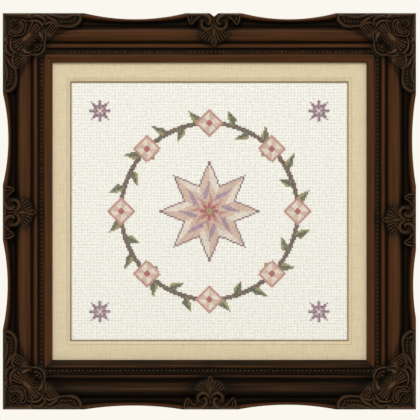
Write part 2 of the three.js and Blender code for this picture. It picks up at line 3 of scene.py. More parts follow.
import bpy
import numpy as np
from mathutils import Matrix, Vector


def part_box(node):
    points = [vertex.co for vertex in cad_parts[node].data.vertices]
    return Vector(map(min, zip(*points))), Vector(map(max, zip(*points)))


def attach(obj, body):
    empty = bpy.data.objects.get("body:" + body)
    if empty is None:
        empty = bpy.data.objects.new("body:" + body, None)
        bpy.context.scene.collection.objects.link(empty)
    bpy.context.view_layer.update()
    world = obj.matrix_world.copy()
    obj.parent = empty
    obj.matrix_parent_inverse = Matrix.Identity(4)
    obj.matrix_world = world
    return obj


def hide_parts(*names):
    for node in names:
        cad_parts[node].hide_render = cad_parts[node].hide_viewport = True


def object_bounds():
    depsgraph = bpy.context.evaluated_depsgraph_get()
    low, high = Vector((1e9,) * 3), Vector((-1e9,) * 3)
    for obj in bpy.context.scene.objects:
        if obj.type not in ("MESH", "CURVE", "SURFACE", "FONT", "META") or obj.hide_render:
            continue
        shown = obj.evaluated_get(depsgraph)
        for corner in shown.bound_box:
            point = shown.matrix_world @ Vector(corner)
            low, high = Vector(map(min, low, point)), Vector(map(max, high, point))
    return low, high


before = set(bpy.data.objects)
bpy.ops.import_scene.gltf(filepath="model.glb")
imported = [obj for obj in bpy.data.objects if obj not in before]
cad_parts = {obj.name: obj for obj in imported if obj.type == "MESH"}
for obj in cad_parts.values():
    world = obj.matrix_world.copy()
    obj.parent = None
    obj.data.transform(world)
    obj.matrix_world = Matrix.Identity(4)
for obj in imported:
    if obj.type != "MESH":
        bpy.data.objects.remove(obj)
cad_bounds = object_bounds()
MM = 0.001


# ---- Camera, light and floor
# The picture hangs upright and is seen square on, through a long lens, in soft light that comes mostly from
# above and a little from the left. The floor lies under it and out of the straight view.

PHOTO_SIDE = 420                         # pixels
PIXEL = 1.186 * MM                       # at the frame's rim
OUTLINE_CENTRE_PIXEL = (209.4, 211.3)
LENS_MM, SENSOR_MM = 300, 36
RIM_FORWARD = 30 * MM


def show(made):
    """Puts a new object into the scene and gives it back."""
    bpy.context.scene.collection.objects.link(made)
    return made


camera = show(bpy.data.objects.new("camera", bpy.data.cameras.new("camera")))
camera.data.lens = LENS_MM
camera.data.sensor_width = SENSOR_MM
axis_x = (PHOTO_SIDE / 2 - OUTLINE_CENTRE_PIXEL[0]) * PIXEL
axis_z = (OUTLINE_CENTRE_PIXEL[1] - PHOTO_SIDE / 2) * PIXEL
camera.location = (axis_x, -RIM_FORWARD - PHOTO_SIDE * PIXEL * LENS_MM / SENSOR_MM, axis_z)
camera.rotation_euler = (math.radians(90), 0, 0)
bpy.context.scene.camera = camera
bpy.context.scene.view_settings.view_transform = "Standard"


def colour(text):
    """The linear red, green, blue and alpha of an sRGB colour written as #rrggbb."""
    srgb = np.array([int(text[i:i + 2], 16) for i in (1, 3, 5)]) / 255
    linear = np.where(srgb <= 0.04045, srgb / 12.92, ((srgb + 0.055) / 1.055) ** 2.4)
    return (*linear.tolist(), 1.0)


def fill(node, inputs):
    """Sets a node's inputs by name or number, or links them where the value is another node's output."""
    for key, value in inputs.items():
        if isinstance(value, bpy.types.NodeSocket):
            node.id_data.links.new(value, node.inputs[key])
        else:
            node.inputs[key].default_value = value
    return node


def add(tree, kind, inputs=None, **settings):
    """Adds a node of a kind to a tree, sets its properties and fills its inputs."""
    node = tree.nodes.new("ShaderNode" + kind)
    for name, value in settings.items():
        setattr(node, name, value)
    return fill(node, inputs or {})


world = bpy.data.worlds.new("pale_room")
bpy.context.scene.world = world
world.use_nodes = True
room = world.node_tree
room.nodes.clear()
seen = add(room, "Background", {"Color": colour("#faf7ee"), "Strength": 1.0})
glow = add(room, "Background", {"Color": colour("#f6f4ef"), "Strength": 0.42})
path = add(room, "LightPath")
either = add(room, "MixShader", {0: path.outputs["Is Camera Ray"], 1: glow.outputs[0], 2: seen.outputs[0]})
add(room, "OutputWorld", {"Surface": either.outputs[0]})

# Each: where it hangs and its side, in metres, and its power in watts.
LIGHTS = {
    "key": ((-0.5, -2.5, 1.25), 1.0, 44),
    "fill": ((1.3, -2.2, 0.5), 1.4, 9),
    "back": ((0.4, 1.9, 1.1), 1.6, 16),
}
for name, (place, size, watts) in LIGHTS.items():
    lamp = show(bpy.data.objects.new(f"{name}_light", bpy.data.lights.new(f"{name}_light", "AREA")))
    lamp.data.size = size
    lamp.data.energy = watts
    lamp.data.color = colour("#fffaf2")[:3]
    lamp.location = place
    lamp.rotation_euler = Vector(place).to_track_quat("Z", "Y").to_euler()


def new_material(name):
    """A material made of nodes, its tree and its shader."""
    made = bpy.data.materials.new(name)
    made.use_nodes = True
    return made, made.node_tree, made.node_tree.nodes["Principled BSDF"]


FLOOR_BELOW = 95 * MM
FLOOR_RADIUS = 1.2
FLOOR_SIDES = 96
turns = np.linspace(0, 2 * math.pi, FLOOR_SIDES, endpoint=False)
floor_height = np.full(FLOOR_SIDES, cad_bounds[0].z - FLOOR_BELOW)
rim = np.stack([FLOOR_RADIUS * np.cos(turns), FLOOR_RADIUS * np.sin(turns), floor_height], 1)
floor_mesh = bpy.data.meshes.new("floor")
floor_mesh.from_pydata(rim.tolist(), [], [list(range(FLOOR_SIDES))])
floor_paint, tree, shader = new_material("matt_white_paint")
fill(shader, {"Base Color": colour("#efece4"), "Roughness": 0.8})
floor_mesh.materials.append(floor_paint)
show(bpy.data.objects.new("floor", floor_mesh))


# ---- Rails
# Four lengths of stained and lacquered moulding, mitred at the corners and glued. Between the ornaments the
# outer edge is swept inward. Dark glaze and painted shade fill the hollows, and the high members are rubbed
# back and lightened with a painted highlight. The moulding beside the castings gets more glaze and painted
# shade, and the bottom rail more painted shade.

rail_low, rail_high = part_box("rail_top")
HALF_WIDE, HALF_HIGH = rail_high.x / MM, rail_high.z / MM
RAIL_WIDTH = (rail_high.z - rail_low.z) / MM
REBATE_WIDTH, REBATE_DEPTH = 6, 11
SIGHT_HEIGHT = 15
BACK_SKIN = 0.1                          # the V-nails stand this proud of the back
RAIL_MEMBERS = [
    [(0, 30.5), (1.2, 33.8), (2.8, 34.6), (4.4, 33.4)],
    [(4.4, 33.4), (5.8, 29), (8, 24.4), (11, 22.2), (14, 23.2)],
    [(14, 23.2), (16, 27.4), (19, 30.2), (22.2, 31), (26, 29.8), (29.6, 27), (33, 22.8)],
    [(33, 22.8), (33.8, 19.8), (34.9, 19.6), (35.5, 20.8)],
    [(35.5, 20.8), (36.4, 22.8), (38.2, 23.8), (40.1, 22.8), (41, 19)],
    [(41, 19), (42.2, 17.6), (45.6, 17.2), (48.2, 17.8)],
    [(48.2, 17.8), (49, 19.2), (50.4, 19.6), (52.6, 18.9), (56, 17.8), (57.4, 16.8),
     (RAIL_WIDTH, SIGHT_HEIGHT)],
]
# How much glaze and painted shade each member gets, by the distance in from the outer edge, and how far the
# castings reach along a rail, from its end and to each side of its middle: close to them the moulding is
# darkened more, with glaze and painted shade.
MEMBER_GLAZE_AND_SHADE = [
    (6, 0), (9, 1), (14, 2), (17, 2.4), (19.4, 1.5), (22, 0), (35.5, 0), (38.2, 1.6), (41, 0.6), (48, 0.3),
    (50, 0),
]
CORNER_REACH = [(0, 95), (12, 94), (18, 80), (30, 57), (34, 52), (48, 49), (RAIL_WIDTH, 40)]
CENTRE_REACH = [
    (0, 32), (8, 32), (14, 28), (16, 18), (22, 14), (24, 17), (31, 15), (35, 9), (40, 2), (RAIL_WIDTH, -16),
]
NEAR_GLAZE_AND_SHADE, NEAR_FADE = 1.8, 7           # the glaze and painted shade close to a casting, and the distance over which they fade
# Painted shade by rail: the bottom rail gets the most, the top rail a little.
SIDE_PAINTED_SHADE = {"top": 0.1, "bottom": 1.6, "left": 0, "right": 0}
PLAIN_RELIEF = 0.6                       # for the sides and the back
CENTRE_AT = {"top": 5.5, "bottom": 1.0, "left": -1.4, "right": -10.3}
SWEEPS = {
    "top": [(-148, -28, 7.0), (38.5, 150, 7.0)],
    "bottom": [(-148, -32, 4.5), (34, 150, 5.4)],
    "left": [(-140, -34.5, 5.6), (31.5, 140, 6.4)],
    "right": [(-127, -47, 3.2), (30, 139, 4.4)],
}
SWEPT_TO = 15
RIM_DROP = 0.25                          # how much lower the rim gets for each millimetre that it is swept in
NOTCH_AT, NOTCH_HALF, NOTCH_DEPTH = CENTRE_AT["top"], 5.4, 4.3
STATION = 3.0
FAN_FROM = 0.6                           # share of the half length where the stations start to lean over


def smooth_path(points, steps):
    """A curve through points: centripetal Catmull-Rom cubics, with the end points mirrored outwards."""
    p = np.asarray(points, float)
    p = np.vstack([2 * p[0] - p[1], p, 2 * p[-1] - p[-2]])
    gaps = np.linalg.norm(np.diff(p[:, :2], axis=0), axis=1) ** 0.5
    knots = np.concatenate([[0], np.cumsum(gaps)])
    p0, p1, p2, p3 = (p[k:len(p) - 3 + k, None] for k in range(4))
    t0, t1, t2, t3 = (knots[k:len(p) - 3 + k, None, None] for k in range(4))
    t = t1 + (t2 - t1) * np.linspace(0, 1, steps, endpoint=False)[None, :, None]
    a1 = ((t1 - t) * p0 + (t - t0) * p1) / (t1 - t0)
    a2 = ((t2 - t) * p1 + (t - t1) * p2) / (t2 - t1)
    a3 = ((t3 - t) * p2 + (t - t2) * p3) / (t3 - t2)
    b1 = ((t2 - t) * a1 + (t - t0) * a2) / (t2 - t0)
    b2 = ((t3 - t) * a2 + (t - t1) * a3) / (t3 - t1)
    curve = ((t2 - t) * b1 + (t - t1) * b2) / (t2 - t1)
    return np.vstack([curve.reshape(-1, p.shape[1]), p[-2]])


def piece(name, points, faces, material, uv=None, values=None, smooth=40):
    """A mesh object from points in metres and faces. The faces are turned round where they enclose a negative
    volume. uv holds a pair for each face corner, values a number for each point, in named attributes."""
    faces = [list(map(int, face)) for face in faces]
    fans = np.array([(f[0], f[k], f[k + 1]) for f in faces for k in range(1, len(f) - 1)])
    a, b, c = (points[fans[:, k]] for k in range(3))
    turned = (a * np.cross(b, c)).sum() < 0
    mesh = bpy.data.meshes.new(name)
    mesh.from_pydata(points.tolist(), [], [face[::-1] for face in faces] if turned else faces)
    if uv is not None:
        corners, start = [], 0
        for face in faces:
            part = uv[start:start + len(face)]
            corners.append(part[::-1] if turned else part)
            start += len(face)
        layer = mesh.uv_layers.new(name="grain")
        layer.data.foreach_set("uv", np.concatenate(corners).astype(np.float32).ravel())
    for key, data in (values or {}).items():
        mesh.attributes.new(key, "FLOAT", "POINT").data.foreach_set("value", data.astype(np.float32).ravel())
    mesh.shade_smooth()
    mesh.set_sharp_from_angle(angle=math.radians(smooth))
    mesh.materials.append(material)
    return show(bpy.data.objects.new(name, mesh))


def net(rows, columns, round_rows, round_columns):
    """The corners (row, column) of every square of a grid that may close on itself in either direction."""
    i, j = np.meshgrid(
        np.arange(rows - (not round_rows)), np.arange(columns - (not round_columns)), indexing="ij")
    i, j = i.ravel(), j.ravel()
    return np.stack([i, i + 1, i + 1, i], 1), np.stack([j, j, j + 1, j + 1], 1)


def lengths(points):
    """The distance run at each point of a path."""
    return np.concatenate([[0], np.cumsum(np.linalg.norm(np.diff(points, axis=0), axis=1))])


front = np.vstack([*(smooth_path(member, 6)[:-1] for member in RAIL_MEMBERS), RAIL_MEMBERS[-1][-1]])
front_u, front_h = front[:, 0], front[:, 1]


def rail_height(inward):
    """The moulding's height at a distance in from its outer edge."""
    return np.interp(inward, front_u, front_h)


def blurred(heights, step, radius, inside=None):
    """Heights averaged with a bell curve of a radius, along every axis, over the part that is inside."""
    weight = np.ones_like(heights) if inside is None else inside.astype(float)
    reach = int(3 * radius / step)
    bell = np.exp(-0.5 * (np.arange(-reach, reach + 1) * step / radius) ** 2)
    total, share = heights * weight, weight.copy()
    for axis in range(heights.ndim):
        total, share = (np.apply_along_axis(np.convolve, axis, x, bell, "same") for x in (total, share))
    return total / np.maximum(share, 1e-9)


EVEN_STEP, BEYOND = 0.25, 12
HOLLOW_RADIUS = 2.6                      # members that are narrower than this stand out as ridges or hollows
even_u = np.arange(-BEYOND, RAIL_WIDTH + BEYOND, EVEN_STEP)
even_relief = rail_height(even_u) - blurred(rail_height(even_u), EVEN_STEP, HOLLOW_RADIUS)

# A place on a side, by how far it is along, in from the outer edge, and up from the back.
PLACES = {
    "top": lambda s, u, h: (s, -h, HALF_HIGH - u),
    "bottom": lambda s, u, h: (s, -h, u - HALF_HIGH),
    "left": lambda s, u, h: (u - HALF_WIDE, -h, s),
    "right": lambda s, u, h: (HALF_WIDE - u, -h, s),
}


def recess(side, along):
    """How far the outer edge is taken in: parabolas between the ornaments, and a V notch in the top."""
    total = np.zeros_like(along)
    for start, end, depth in SWEEPS[side]:
        t = np.clip((along - start) / (end - start), 0, 1)
        total += depth * 4 * t * (1 - t)
    if side == "top":
        total += NOTCH_DEPTH * np.clip(1 - np.abs(along - NOTCH_AT) / NOTCH_HALF, 0, None)
    return total


def lacquered(name, pale, mid, dark, grain, coat_bump, brush, filled, clean):
    """Brown lacquer over dark glaze. The glaze, which is also painted shade, fills what is low in the relief,
    below filled, in the colour dark; the high ridges, above clean, are rubbed paler, which is also a painted
    highlight. brush is how ragged that is. The brush marks are noise, drawn out along the piece's own UV
    where the piece has a grain, and round on cast composition."""
    made, tree, shader = new_material(name)
    relief = add(tree, "Attribute", attribute_name="relief").outputs["Fac"]
    if grain:                            # marks along the fibres, 110 mm long and 2.2 mm wide
        place, mark = add(tree, "UVMap", uv_map="grain").outputs[0], (110 * MM, 2.2 * MM, 1)
    else:                                # clouds of 4 mm where the brush left more colour
        place, mark = add(tree, "TexCoord").outputs["Object"], (4 * MM, 4 * MM, 4 * MM)
    spread = add(tree, "Mapping", {"Vector": place, "Scale": [1 / size for size in mark]})
    noise = add(tree, "TexNoise", {
        "Vector": spread.outputs[0], "Scale": 1.0, "Detail": 5.0, "Roughness": 0.6})
    ragged = add(tree, "Math", {0: noise.outputs["Fac"], 1: brush, 2: relief}, operation="MULTIPLY_ADD")
    glaze_and_shade, rubbed_and_highlit = (
        add(tree, "MapRange", {"Value": ragged.outputs[0], "From Min": start, "From Max": end},
            interpolation_type="SMOOTHSTEP") for start, end in ((filled, clean), (clean, clean + 2.2)))
    cloudy = add(tree, "MapRange", {"Value": noise.outputs["Fac"], "From Min": 0.3, "From Max": 0.7})
    tone = add(tree, "Mix", {0: cloudy.outputs[0], 6: colour(mid), 7: colour(pale)}, data_type="RGBA")
    low = add(tree, "Mix", {0: glaze_and_shade.outputs[0], 6: colour(dark), 7: tone.outputs[2]}, data_type="RGBA")
    high = add(tree, "Mix", {0: rubbed_and_highlit.outputs[0], 6: low.outputs[2], 7: colour(pale)}, data_type="RGBA")
    rough = add(tree, "MapRange", {"Value": glaze_and_shade.outputs[0], "To Min": 0.62, "To Max": 0.4})
    bump = add(tree, "Bump", {"Height": noise.outputs["Fac"], "Strength": coat_bump, "Distance": 0.4 * MM})
    fill(shader, {"Base Color": high.outputs[2], "Roughness": rough.outputs[0], "Normal": bump.outputs[0],
                  "IOR": 1.5, "Specular IOR Level": 0.12, "Specular Tint": colour("#f0d2b4")})
    return made


# Stained wood: dark glaze and painted shade in its hollows, rubbed wear and a painted highlight on its high
# members.
stained_wood = lacquered("stained_lacquered_wood", "#51321d", "#392111", "#0f0b07",
                         grain=True, coat_bump=0.25, brush=2.6, filled=-0.65, clean=1.7)

section = np.array([
    (0, BACK_SKIN), *front, (RAIL_WIDTH, REBATE_DEPTH), (RAIL_WIDTH - REBATE_WIDTH, REBATE_DEPTH),
    (RAIL_WIDTH - REBATE_WIDTH, BACK_SKIN)])
section_run = lengths(np.vstack([section, section[:1]]))
for side, place in PLACES.items():
    half = HALF_WIDE if side in ("top", "bottom") else HALF_HIGH
    share = np.linspace(-1, 1, int(2 * half / STATION) + 1)
    if side == "top":
        notch = (NOTCH_AT + NOTCH_HALF * np.linspace(-1, 1, 9)) / half
        share = np.sort(np.concatenate([share[np.abs(share * half - NOTCH_AT) > NOTCH_HALF + 1], notch]))
    lean = np.sign(share) * np.clip((np.abs(share) - FAN_FROM) / (1 - FAN_FROM), 0, 1)
    stations, count = len(share), len(section)
    u, h = np.broadcast_to(section[:, 0], (stations, count)), section[:, 1]
    s = share[:, None] * half - lean[:, None] * u
    cut = recess(side, s)
    inward = np.where(u < SWEPT_TO, cut + u * (SWEPT_TO - cut) / SWEPT_TO, u)
    sunk = np.where((u < SWEPT_TO / 2) & (h > 1), RIM_DROP * cut, 0)
    points = np.stack(place(s, inward, h - sunk), -1) * MM
    rows, columns = net(stations, count, False, True)
    faces = (rows * count + columns % count).tolist()
    ends = [list(range(count)), list(range((stations - 1) * count, stations * count))[::-1]]
    uv = np.stack([s[rows, columns % count] * MM, section_run[columns] * MM], -1).reshape(-1, 2)
    end_uv = [np.stack([s[row] * MM, section_run[:-1] * MM], -1) for row in (0, -1)]
    on_front = (h > rail_height(u) - 0.5) & (h > REBATE_DEPTH + 1)
    clear = np.minimum(half - np.abs(s) - np.interp(u, *zip(*CORNER_REACH)),
                       np.abs(s - CENTRE_AT[side]) - np.interp(u, *zip(*CENTRE_REACH)))
    # Glaze and painted shade, lowering the relief: by member, by rail, and close to the castings.
    shade_and_glaze_offset = SIDE_PAINTED_SHADE[side] + np.interp(u, *zip(*MEMBER_GLAZE_AND_SHADE))
    shade_and_glaze_offset += NEAR_GLAZE_AND_SHADE * np.exp(-np.maximum(clear, 0) / NEAR_FADE)
    relief = np.where(on_front, np.interp(u, even_u, even_relief) - shade_and_glaze_offset, PLAIN_RELIEF)
    rail = piece(f"{side}_rail", points.reshape(-1, 3), faces + ends, stained_wood,
                 np.concatenate([uv, *end_uv]), {"relief": relief})
    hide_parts(f"rail_{side}")
    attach(rail, "frame")


# ---- Pearl rows
# A string of small half-round pearls pressed in composition lies in the channel beside the sight edge of each
# rail. They are closed domes, a little longer along the rail than across it.

PEARL_INWARD, PEARL_FOOT = 45.2, 16.9
PEARL_PITCH = 4.92
PEARL_HALF = (2.3, 1.8, 3.0)             # along, across, and up from its foot
PEARL_SIDES = 10
PEARL_RINGS = (0, 28, 54, 76)            # degrees up from the foot
RING_RELIEF = (-2.2, -1.3, -0.7, -0.4)   # glaze and painted shade lie round the foot of each pearl, between the pearls
CROWN_RELIEF = -0.2
PEARLS_END = 50                          # from the frame's outer corner

around = np.linspace(0, 2 * math.pi, PEARL_SIDES, endpoint=False)
rise = np.radians(PEARL_RINGS)[:, None]
rings = np.stack(np.broadcast_arrays(
    np.cos(rise) * np.cos(around), np.cos(rise) * np.sin(around), np.sin(rise)), -1).reshape(-1, 3)
dome = np.vstack([rings, [(0, 0, 1)]]) * PEARL_HALF
dome_relief = np.append(np.repeat(RING_RELIEF, PEARL_SIDES), CROWN_RELIEF)
rows, columns = net(len(PEARL_RINGS), PEARL_SIDES, False, True)
dome_faces = (rows * PEARL_SIDES + columns % PEARL_SIDES)[:, ::-1].tolist()
last_ring = len(rings) - PEARL_SIDES
dome_faces += [[last_ring + k, last_ring + (k + 1) % PEARL_SIDES, len(rings)] for k in range(PEARL_SIDES)]
dome_faces += [list(range(PEARL_SIDES))[::-1]]

# Cast composition: dark glaze and painted shade in its low places, rubbed wear and a painted highlight on its
# ridges.
cast_composition = lacquered("cast_composition", "#543d2b", "#3e2e20", "#1b1710",
                             grain=False, coat_bump=0.2, brush=2.4, filled=-0.25, clean=1.6)
for side, place in PLACES.items():
    half = HALF_WIDE if side in ("top", "bottom") else HALF_HIGH
    count = int(2 * (half - PEARLS_END) / PEARL_PITCH) + 1
    at = (np.arange(count) - (count - 1) / 2) * PEARL_PITCH
    s, u, h = (np.tile(dome[:, k] + x, (count, 1)) for k, x in enumerate((0, PEARL_INWARD, PEARL_FOOT)))
    points = np.stack(place(s + at[:, None], u, h), -1).reshape(-1, 3) * MM
    faces = [[v + k * len(dome) for v in face] for k in range(count) for face in dome_faces]
    values = {"relief": np.tile(dome_relief, count)}
    pearls = piece(f"{side}_pearl_row", points, faces, cast_composition, None, values, 80)
    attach(pearls, "frame")


# ---- Corner ornaments
# Each is one casting of wood-flour composition, pressed and glued over the mitre: a fluted shell across the
# corner, a small eye behind it, leaves and loops along both rails, and a leaf tongue in a ring before it.

CELL = 0.34                              # spacing of the modelled surface
BASE_BELOW = 2.8                         # how far the ground lies below the level of the strands
GROOVE = 0.4                             # share of a strand's height that its grooves take away
LEVELS = [(0, 35.4), (22, 32.6), (37, 26.0), (50, 21.4), (70, 19.6)]
EDGE_RISE, EDGE_ROLL = 1.0, 2.4          # the height at the edge, and how far in the full height is reached
BASE_PROUD, LEAST_PROUD = 0.6, 0.5       # how far the ground and the deepest pit stand off the moulding
UNDERSIDE = 0.15                         # how far the casting is let into the moulding
LEAST_THICK = 0.3


def mirrored(points):
    """The same points on the other side of the corner's diagonal."""
    return [(q, p, *rest) for p, q, *rest in points]


def flipped(points):
    """The same points on the other side of the line p = 0."""
    return [(-p, q, *rest) for p, q, *rest in points]


def arc(centre, radius, middle, reach, width, rise):
    """Points of a strand along an arc, thinner and lower towards its ends."""
    angle = np.radians(middle + reach * np.linspace(-1, 1, 9))
    taper = 0.5 + 0.5 * np.sin(np.linspace(0, math.pi, 9)) ** 0.7
    return np.stack([centre[0] + radius * np.cos(angle), centre[1] + radius * np.sin(angle),
                     width * taper, rise * taper], 1)


def near_path(p, q, path):
    """For every place: its distance from a path of points (p, q, width, rise), the width and the rise there,
    and on which side of the path it lies."""
    best = np.full(p.shape, np.inf)
    width, rise, hand = np.zeros(p.shape), np.zeros(p.shape), np.ones(p.shape)
    for a, b in zip(path[:-1], path[1:]):
        run = b[:2] - a[:2]
        dp, dq = p - a[0], q - a[1]
        t = np.clip((dp * run[0] + dq * run[1]) / max(run @ run, 1e-9), 0, 1)
        away = np.hypot(dp - t * run[0], dq - t * run[1])
        closer = away < best
        best = np.where(closer, away, best)
        width = np.where(closer, a[2] + t * (b[2] - a[2]), width)
        rise = np.where(closer, a[3] + t * (b[3] - a[3]), rise)
        hand = np.where(closer, np.where(run[0] * dq > run[1] * dp, 1, -1), hand)
    return best, width, rise, hand


def depth_inside(p, q, outline):
    """How far inside a closed outline every place lies, below zero outside it: the distance from the nearest
    side, with the sign from how many sides a line drawn outwards crosses."""
    closed = np.column_stack([np.vstack([outline, outline[:1]]), np.zeros((len(outline) + 1, 2))])
    odd = np.zeros(p.shape, bool)
    for a, b in zip(closed[:-1], closed[1:]):
        crosses = (a[1] > q) != (b[1] > q)
        odd ^= crosses & (p < a[0] + (q - a[1]) * (b[0] - a[0]) / (b[1] - a[1] if b[1] != a[1] else 1))
    away = near_path(p, q, closed)[0]
    return np.where(odd, away, -away)


def carved(p, q, depth, inward, strands, pits):
    """The height and the relief of a carved surface. Its height is the highest of a ground that follows the
    moulding and of strands, less the pits, and it rolls down to the moulding at its edge. A strand's back is
    a half round, cut by grooves into as many ridges as it has. The relief is how far a place stands out from
    those round it, and how high it lies above the strands' level, less the pits; the material darkens low
    relief with glaze and painted shade, and lightens high relief as rubbed wear and a painted highlight."""
    moulding, level = rail_height(inward), np.interp(inward, *zip(*LEVELS))
    ground = level - BASE_BELOW
    height = np.maximum(ground, moulding + BASE_PROUD)
    for ridges, strand in strands:
        path = smooth_path(strand, 6) if len(strand) > 2 else np.asarray(strand, float)
        reach = path[:, 2].max() / 2 + CELL
        i0, j0 = np.maximum(((path[:, :2].min(0) - reach - (p[0, 0], q[0, 0])) / CELL).astype(int), 0)
        i1, j1 = ((path[:, :2].max(0) + reach - (p[0, 0], q[0, 0])) / CELL).astype(int) + 2
        window = (slice(i0, i1), slice(j0, j1))
        off, width, rise, hand = near_path(p[window], q[window], path)
        across = np.clip(off / np.maximum(width / 2, 1e-3), 0, 1)
        back = (1 - across ** 2) ** 0.6
        if ridges > 1:
            flute = np.abs(np.sin(math.pi * ridges * (hand * across + 1) / 2))
            back = back * (1 - GROOVE + GROOVE * flute ** 0.7)
        top = ground[window] + (rise + BASE_BELOW) * back
        height[window] = np.where(across < 1, np.maximum(height[window], top), height[window])
    hollow = np.zeros_like(height)
    for (cp, cq), radius, drop in pits:
        hollow += drop * np.exp(-((p - cp) ** 2 + (q - cq) ** 2) / radius ** 2)
    full = np.maximum(height - hollow, moulding + LEAST_PROUD) - moulding
    roll = np.clip(np.maximum(depth, 0) / EDGE_ROLL, 0, 1)
    height = moulding + np.minimum(full, EDGE_RISE + full * np.sqrt(1 - (1 - roll) ** 2))
    relief = 0.6 * (height - blurred(height, CELL, 1.5, depth > 0)) + 0.35 * (height - level - 1.2) - hollow
    return height, relief


def closed_plate(squares, count):
    """The faces of a plate: the squares of its face, the same turned over on its underside, whose points are
    numbered count later, and a wall along every edge that only one square has."""
    edges = np.concatenate([squares[:, [k, (k + 1) % 4]] for k in range(4)])
    lone = ~np.isin(edges[:, 0] * count + edges[:, 1], edges[:, 1] * count + edges[:, 0])
    a, b = edges[lone].T
    return np.concatenate([squares, squares[:, ::-1] + count, np.stack([b, a, a + count, b + count], 1)])


def casting(outline, strands, pits, inward_of):
    """A casting on a square grid inside an outline, with its border drawn out onto the outline. Returns the
    plan places, the heights of face and underside, the relief, and the faces of the closed piece."""
    low, high = outline.min(0) - 2 * CELL, outline.max(0) + 2 * CELL
    p, q = np.meshgrid(np.arange(low[0], high[0], CELL), np.arange(low[1], high[1], CELL), indexing="ij")
    depth = depth_inside(p, q, outline)
    height, relief = carved(p, q, depth, np.maximum(inward_of(p, q), 0), strands, pits)

    corners = [np.s_[:-1, :-1], np.s_[1:, :-1], np.s_[1:, 1:], np.s_[:-1, 1:]]
    cells = np.minimum.reduce([depth[corner] for corner in corners]) > -CELL / 2
    used = np.zeros(p.shape, bool)
    for corner in corners:
        used[corner] |= cells
    border = used & ~np.logical_and.reduce([np.pad(cells, 1)[corner] for corner in corners])
    slope_p, slope_q = np.gradient(depth, CELL)
    steep = np.maximum(np.hypot(slope_p, slope_q), 0.5)
    p = np.where(border, p - depth * slope_p / steep ** 2, p)
    q = np.where(border, q - depth * slope_q / steep ** 2, q)

    number = np.cumsum(used.ravel()).reshape(used.shape) - 1
    squares = np.stack([number[corner][cells] for corner in corners], 1)
    under = rail_height(np.maximum(inward_of(p[used], q[used]), 0)) - UNDERSIDE
    face = np.maximum(height[used], under + LEAST_THICK)
    return np.stack([p[used], q[used]], 1), face, under, relief[used], closed_plate(squares, int(used.sum()))


HALF_CORNER = [
    (93, 0.4), (95, 5), (94, 11), (88, 16.5), (79, 18), (69, 17), (64, 20), (57, 30), (51.5, 33.5),
    (52.5, 41), (49.5, 48),
]
EYE, SHELL = (12.6, 12.6), (27.5, 27.5)


def both(*strands):
    """Each strand and its mirror image in the diagonal."""
    return [side for ridges, strand in strands for side in ((ridges, strand), (ridges, mirrored(strand)))]


def across_diagonal(ridges, half):
    """One strand made of a half and its mirror image, joined on the diagonal."""
    return ridges, half + mirrored(half)[-2::-1]


inner_edge = smooth_path(HALF_CORNER + mirrored(HALF_CORNER)[::-1], 5)
corner_outline = np.vstack([[(0.4, 0.4)], inner_edge])


def fan(ridges, near, far, thin, thick):
    """The ridges of a fluted shell, spread from one line to another. near and far are pairs of ends, thin and
    thick the width and rise of a ridge where it starts and where it ends."""
    share = np.linspace(0, 1, ridges)[:, None]
    start, end = (np.asarray(line[0]) * (1 - share) + np.asarray(line[1]) * share for line in (near, far))
    return [(1, [(*a, *thin), (*b, *thick)]) for a, b in zip(start, end)]


corner_strands = [                       # the low bodies of the leaves, then the nested ridges on them
    across_diagonal(1, [(22, 11.6, 7, 1.0), (23, 17.4, 9, 1.2), (20.6, 20.6, 9.4, 1.2)]),
    across_diagonal(1, [(39.6, 15.4, 10.4, 0.8), (34, 22.4, 8, 1.4), (28.8, 28.8, 8, 2.2)]),
    *both((1, [(52, 27, 8, -1), (60, 18, 10, -1)]), (1, [(40, 9, 6, -1.4), (47, 20, 8, -1.8)])),
    across_diagonal(1, [(21.4, 8.6, 1.6, 3.4), (24.6, 8.2, 2, 4.4), (27.3, 11.6, 2.1, 4.6),
                        (27, 17.8, 1.9, 4.4), (24.6, 24.6, 1.8, 4)]),
    across_diagonal(1, [(23.4, 11.4, 1.6, 3.6), (24.8, 14, 1.9, 4.4), (24.2, 18.4, 1.8, 4.2),
                        (22.1, 22.1, 1.7, 3.8)]),
    across_diagonal(1, [(20.6, 11.8, 1.5, 3.4), (21.9, 14.4, 1.8, 4.2), (21.5, 17.2, 1.7, 4),
                        (19.6, 19.6, 1.7, 3.6)]),
    across_diagonal(1, [(17.8, 12.6, 1.4, 3), (19.2, 14.4, 1.6, 3.8), (18.6, 16.2, 1.6, 3.6),
                        (17.2, 17.2, 1.5, 3.2)]),
    across_diagonal(1, [(32.6, 24.6, 5.4, 3), (28.8, 28.8, 8.6, 4)]),
    (1, arc(EYE, 3.6, 225, 165, 1.7, 2.6)),
    (1, [(12.3, 12.3, 2.2, 2.6), (13.1, 13.1, 2.2, 2.6)]),
    (1, arc((39.6, 39.6), 4.8, 45, 112, 1.8, 4)),
    (1, [(38.4, 38.4, 2.2, 2), (40, 40, 4, 3), (41.2, 41.2, 2.2, 2.2)]),
    (1, arc((37.4, 37.4), 12.2, 45, 92, 2.3, 3.6)),
]
SHELL_RIBS = fan(4, ((30.4, 23), (34.8, 26.4)), ((35.6, 11.4), (44.2, 17.8)), (1.4, 3.4), (2.6, 4.9))
TAB_RIBS = fan(4, ((52.8, 20.2), (58.8, 25.4)), ((57.4, 13.4), (65.4, 17.4)), (1.6, 2.2), (2.1, 3.8))
corner_strands += both(*SHELL_RIBS) + both(*TAB_RIBS)
corner_strands += [
    (1, [(SHELL[0] + r * math.cos(a), SHELL[1] + r * math.sin(a), 1.8, 2.4) for r in (6, 11)])
    for a in np.radians(45 + 17 * np.arange(-3, 4))
]
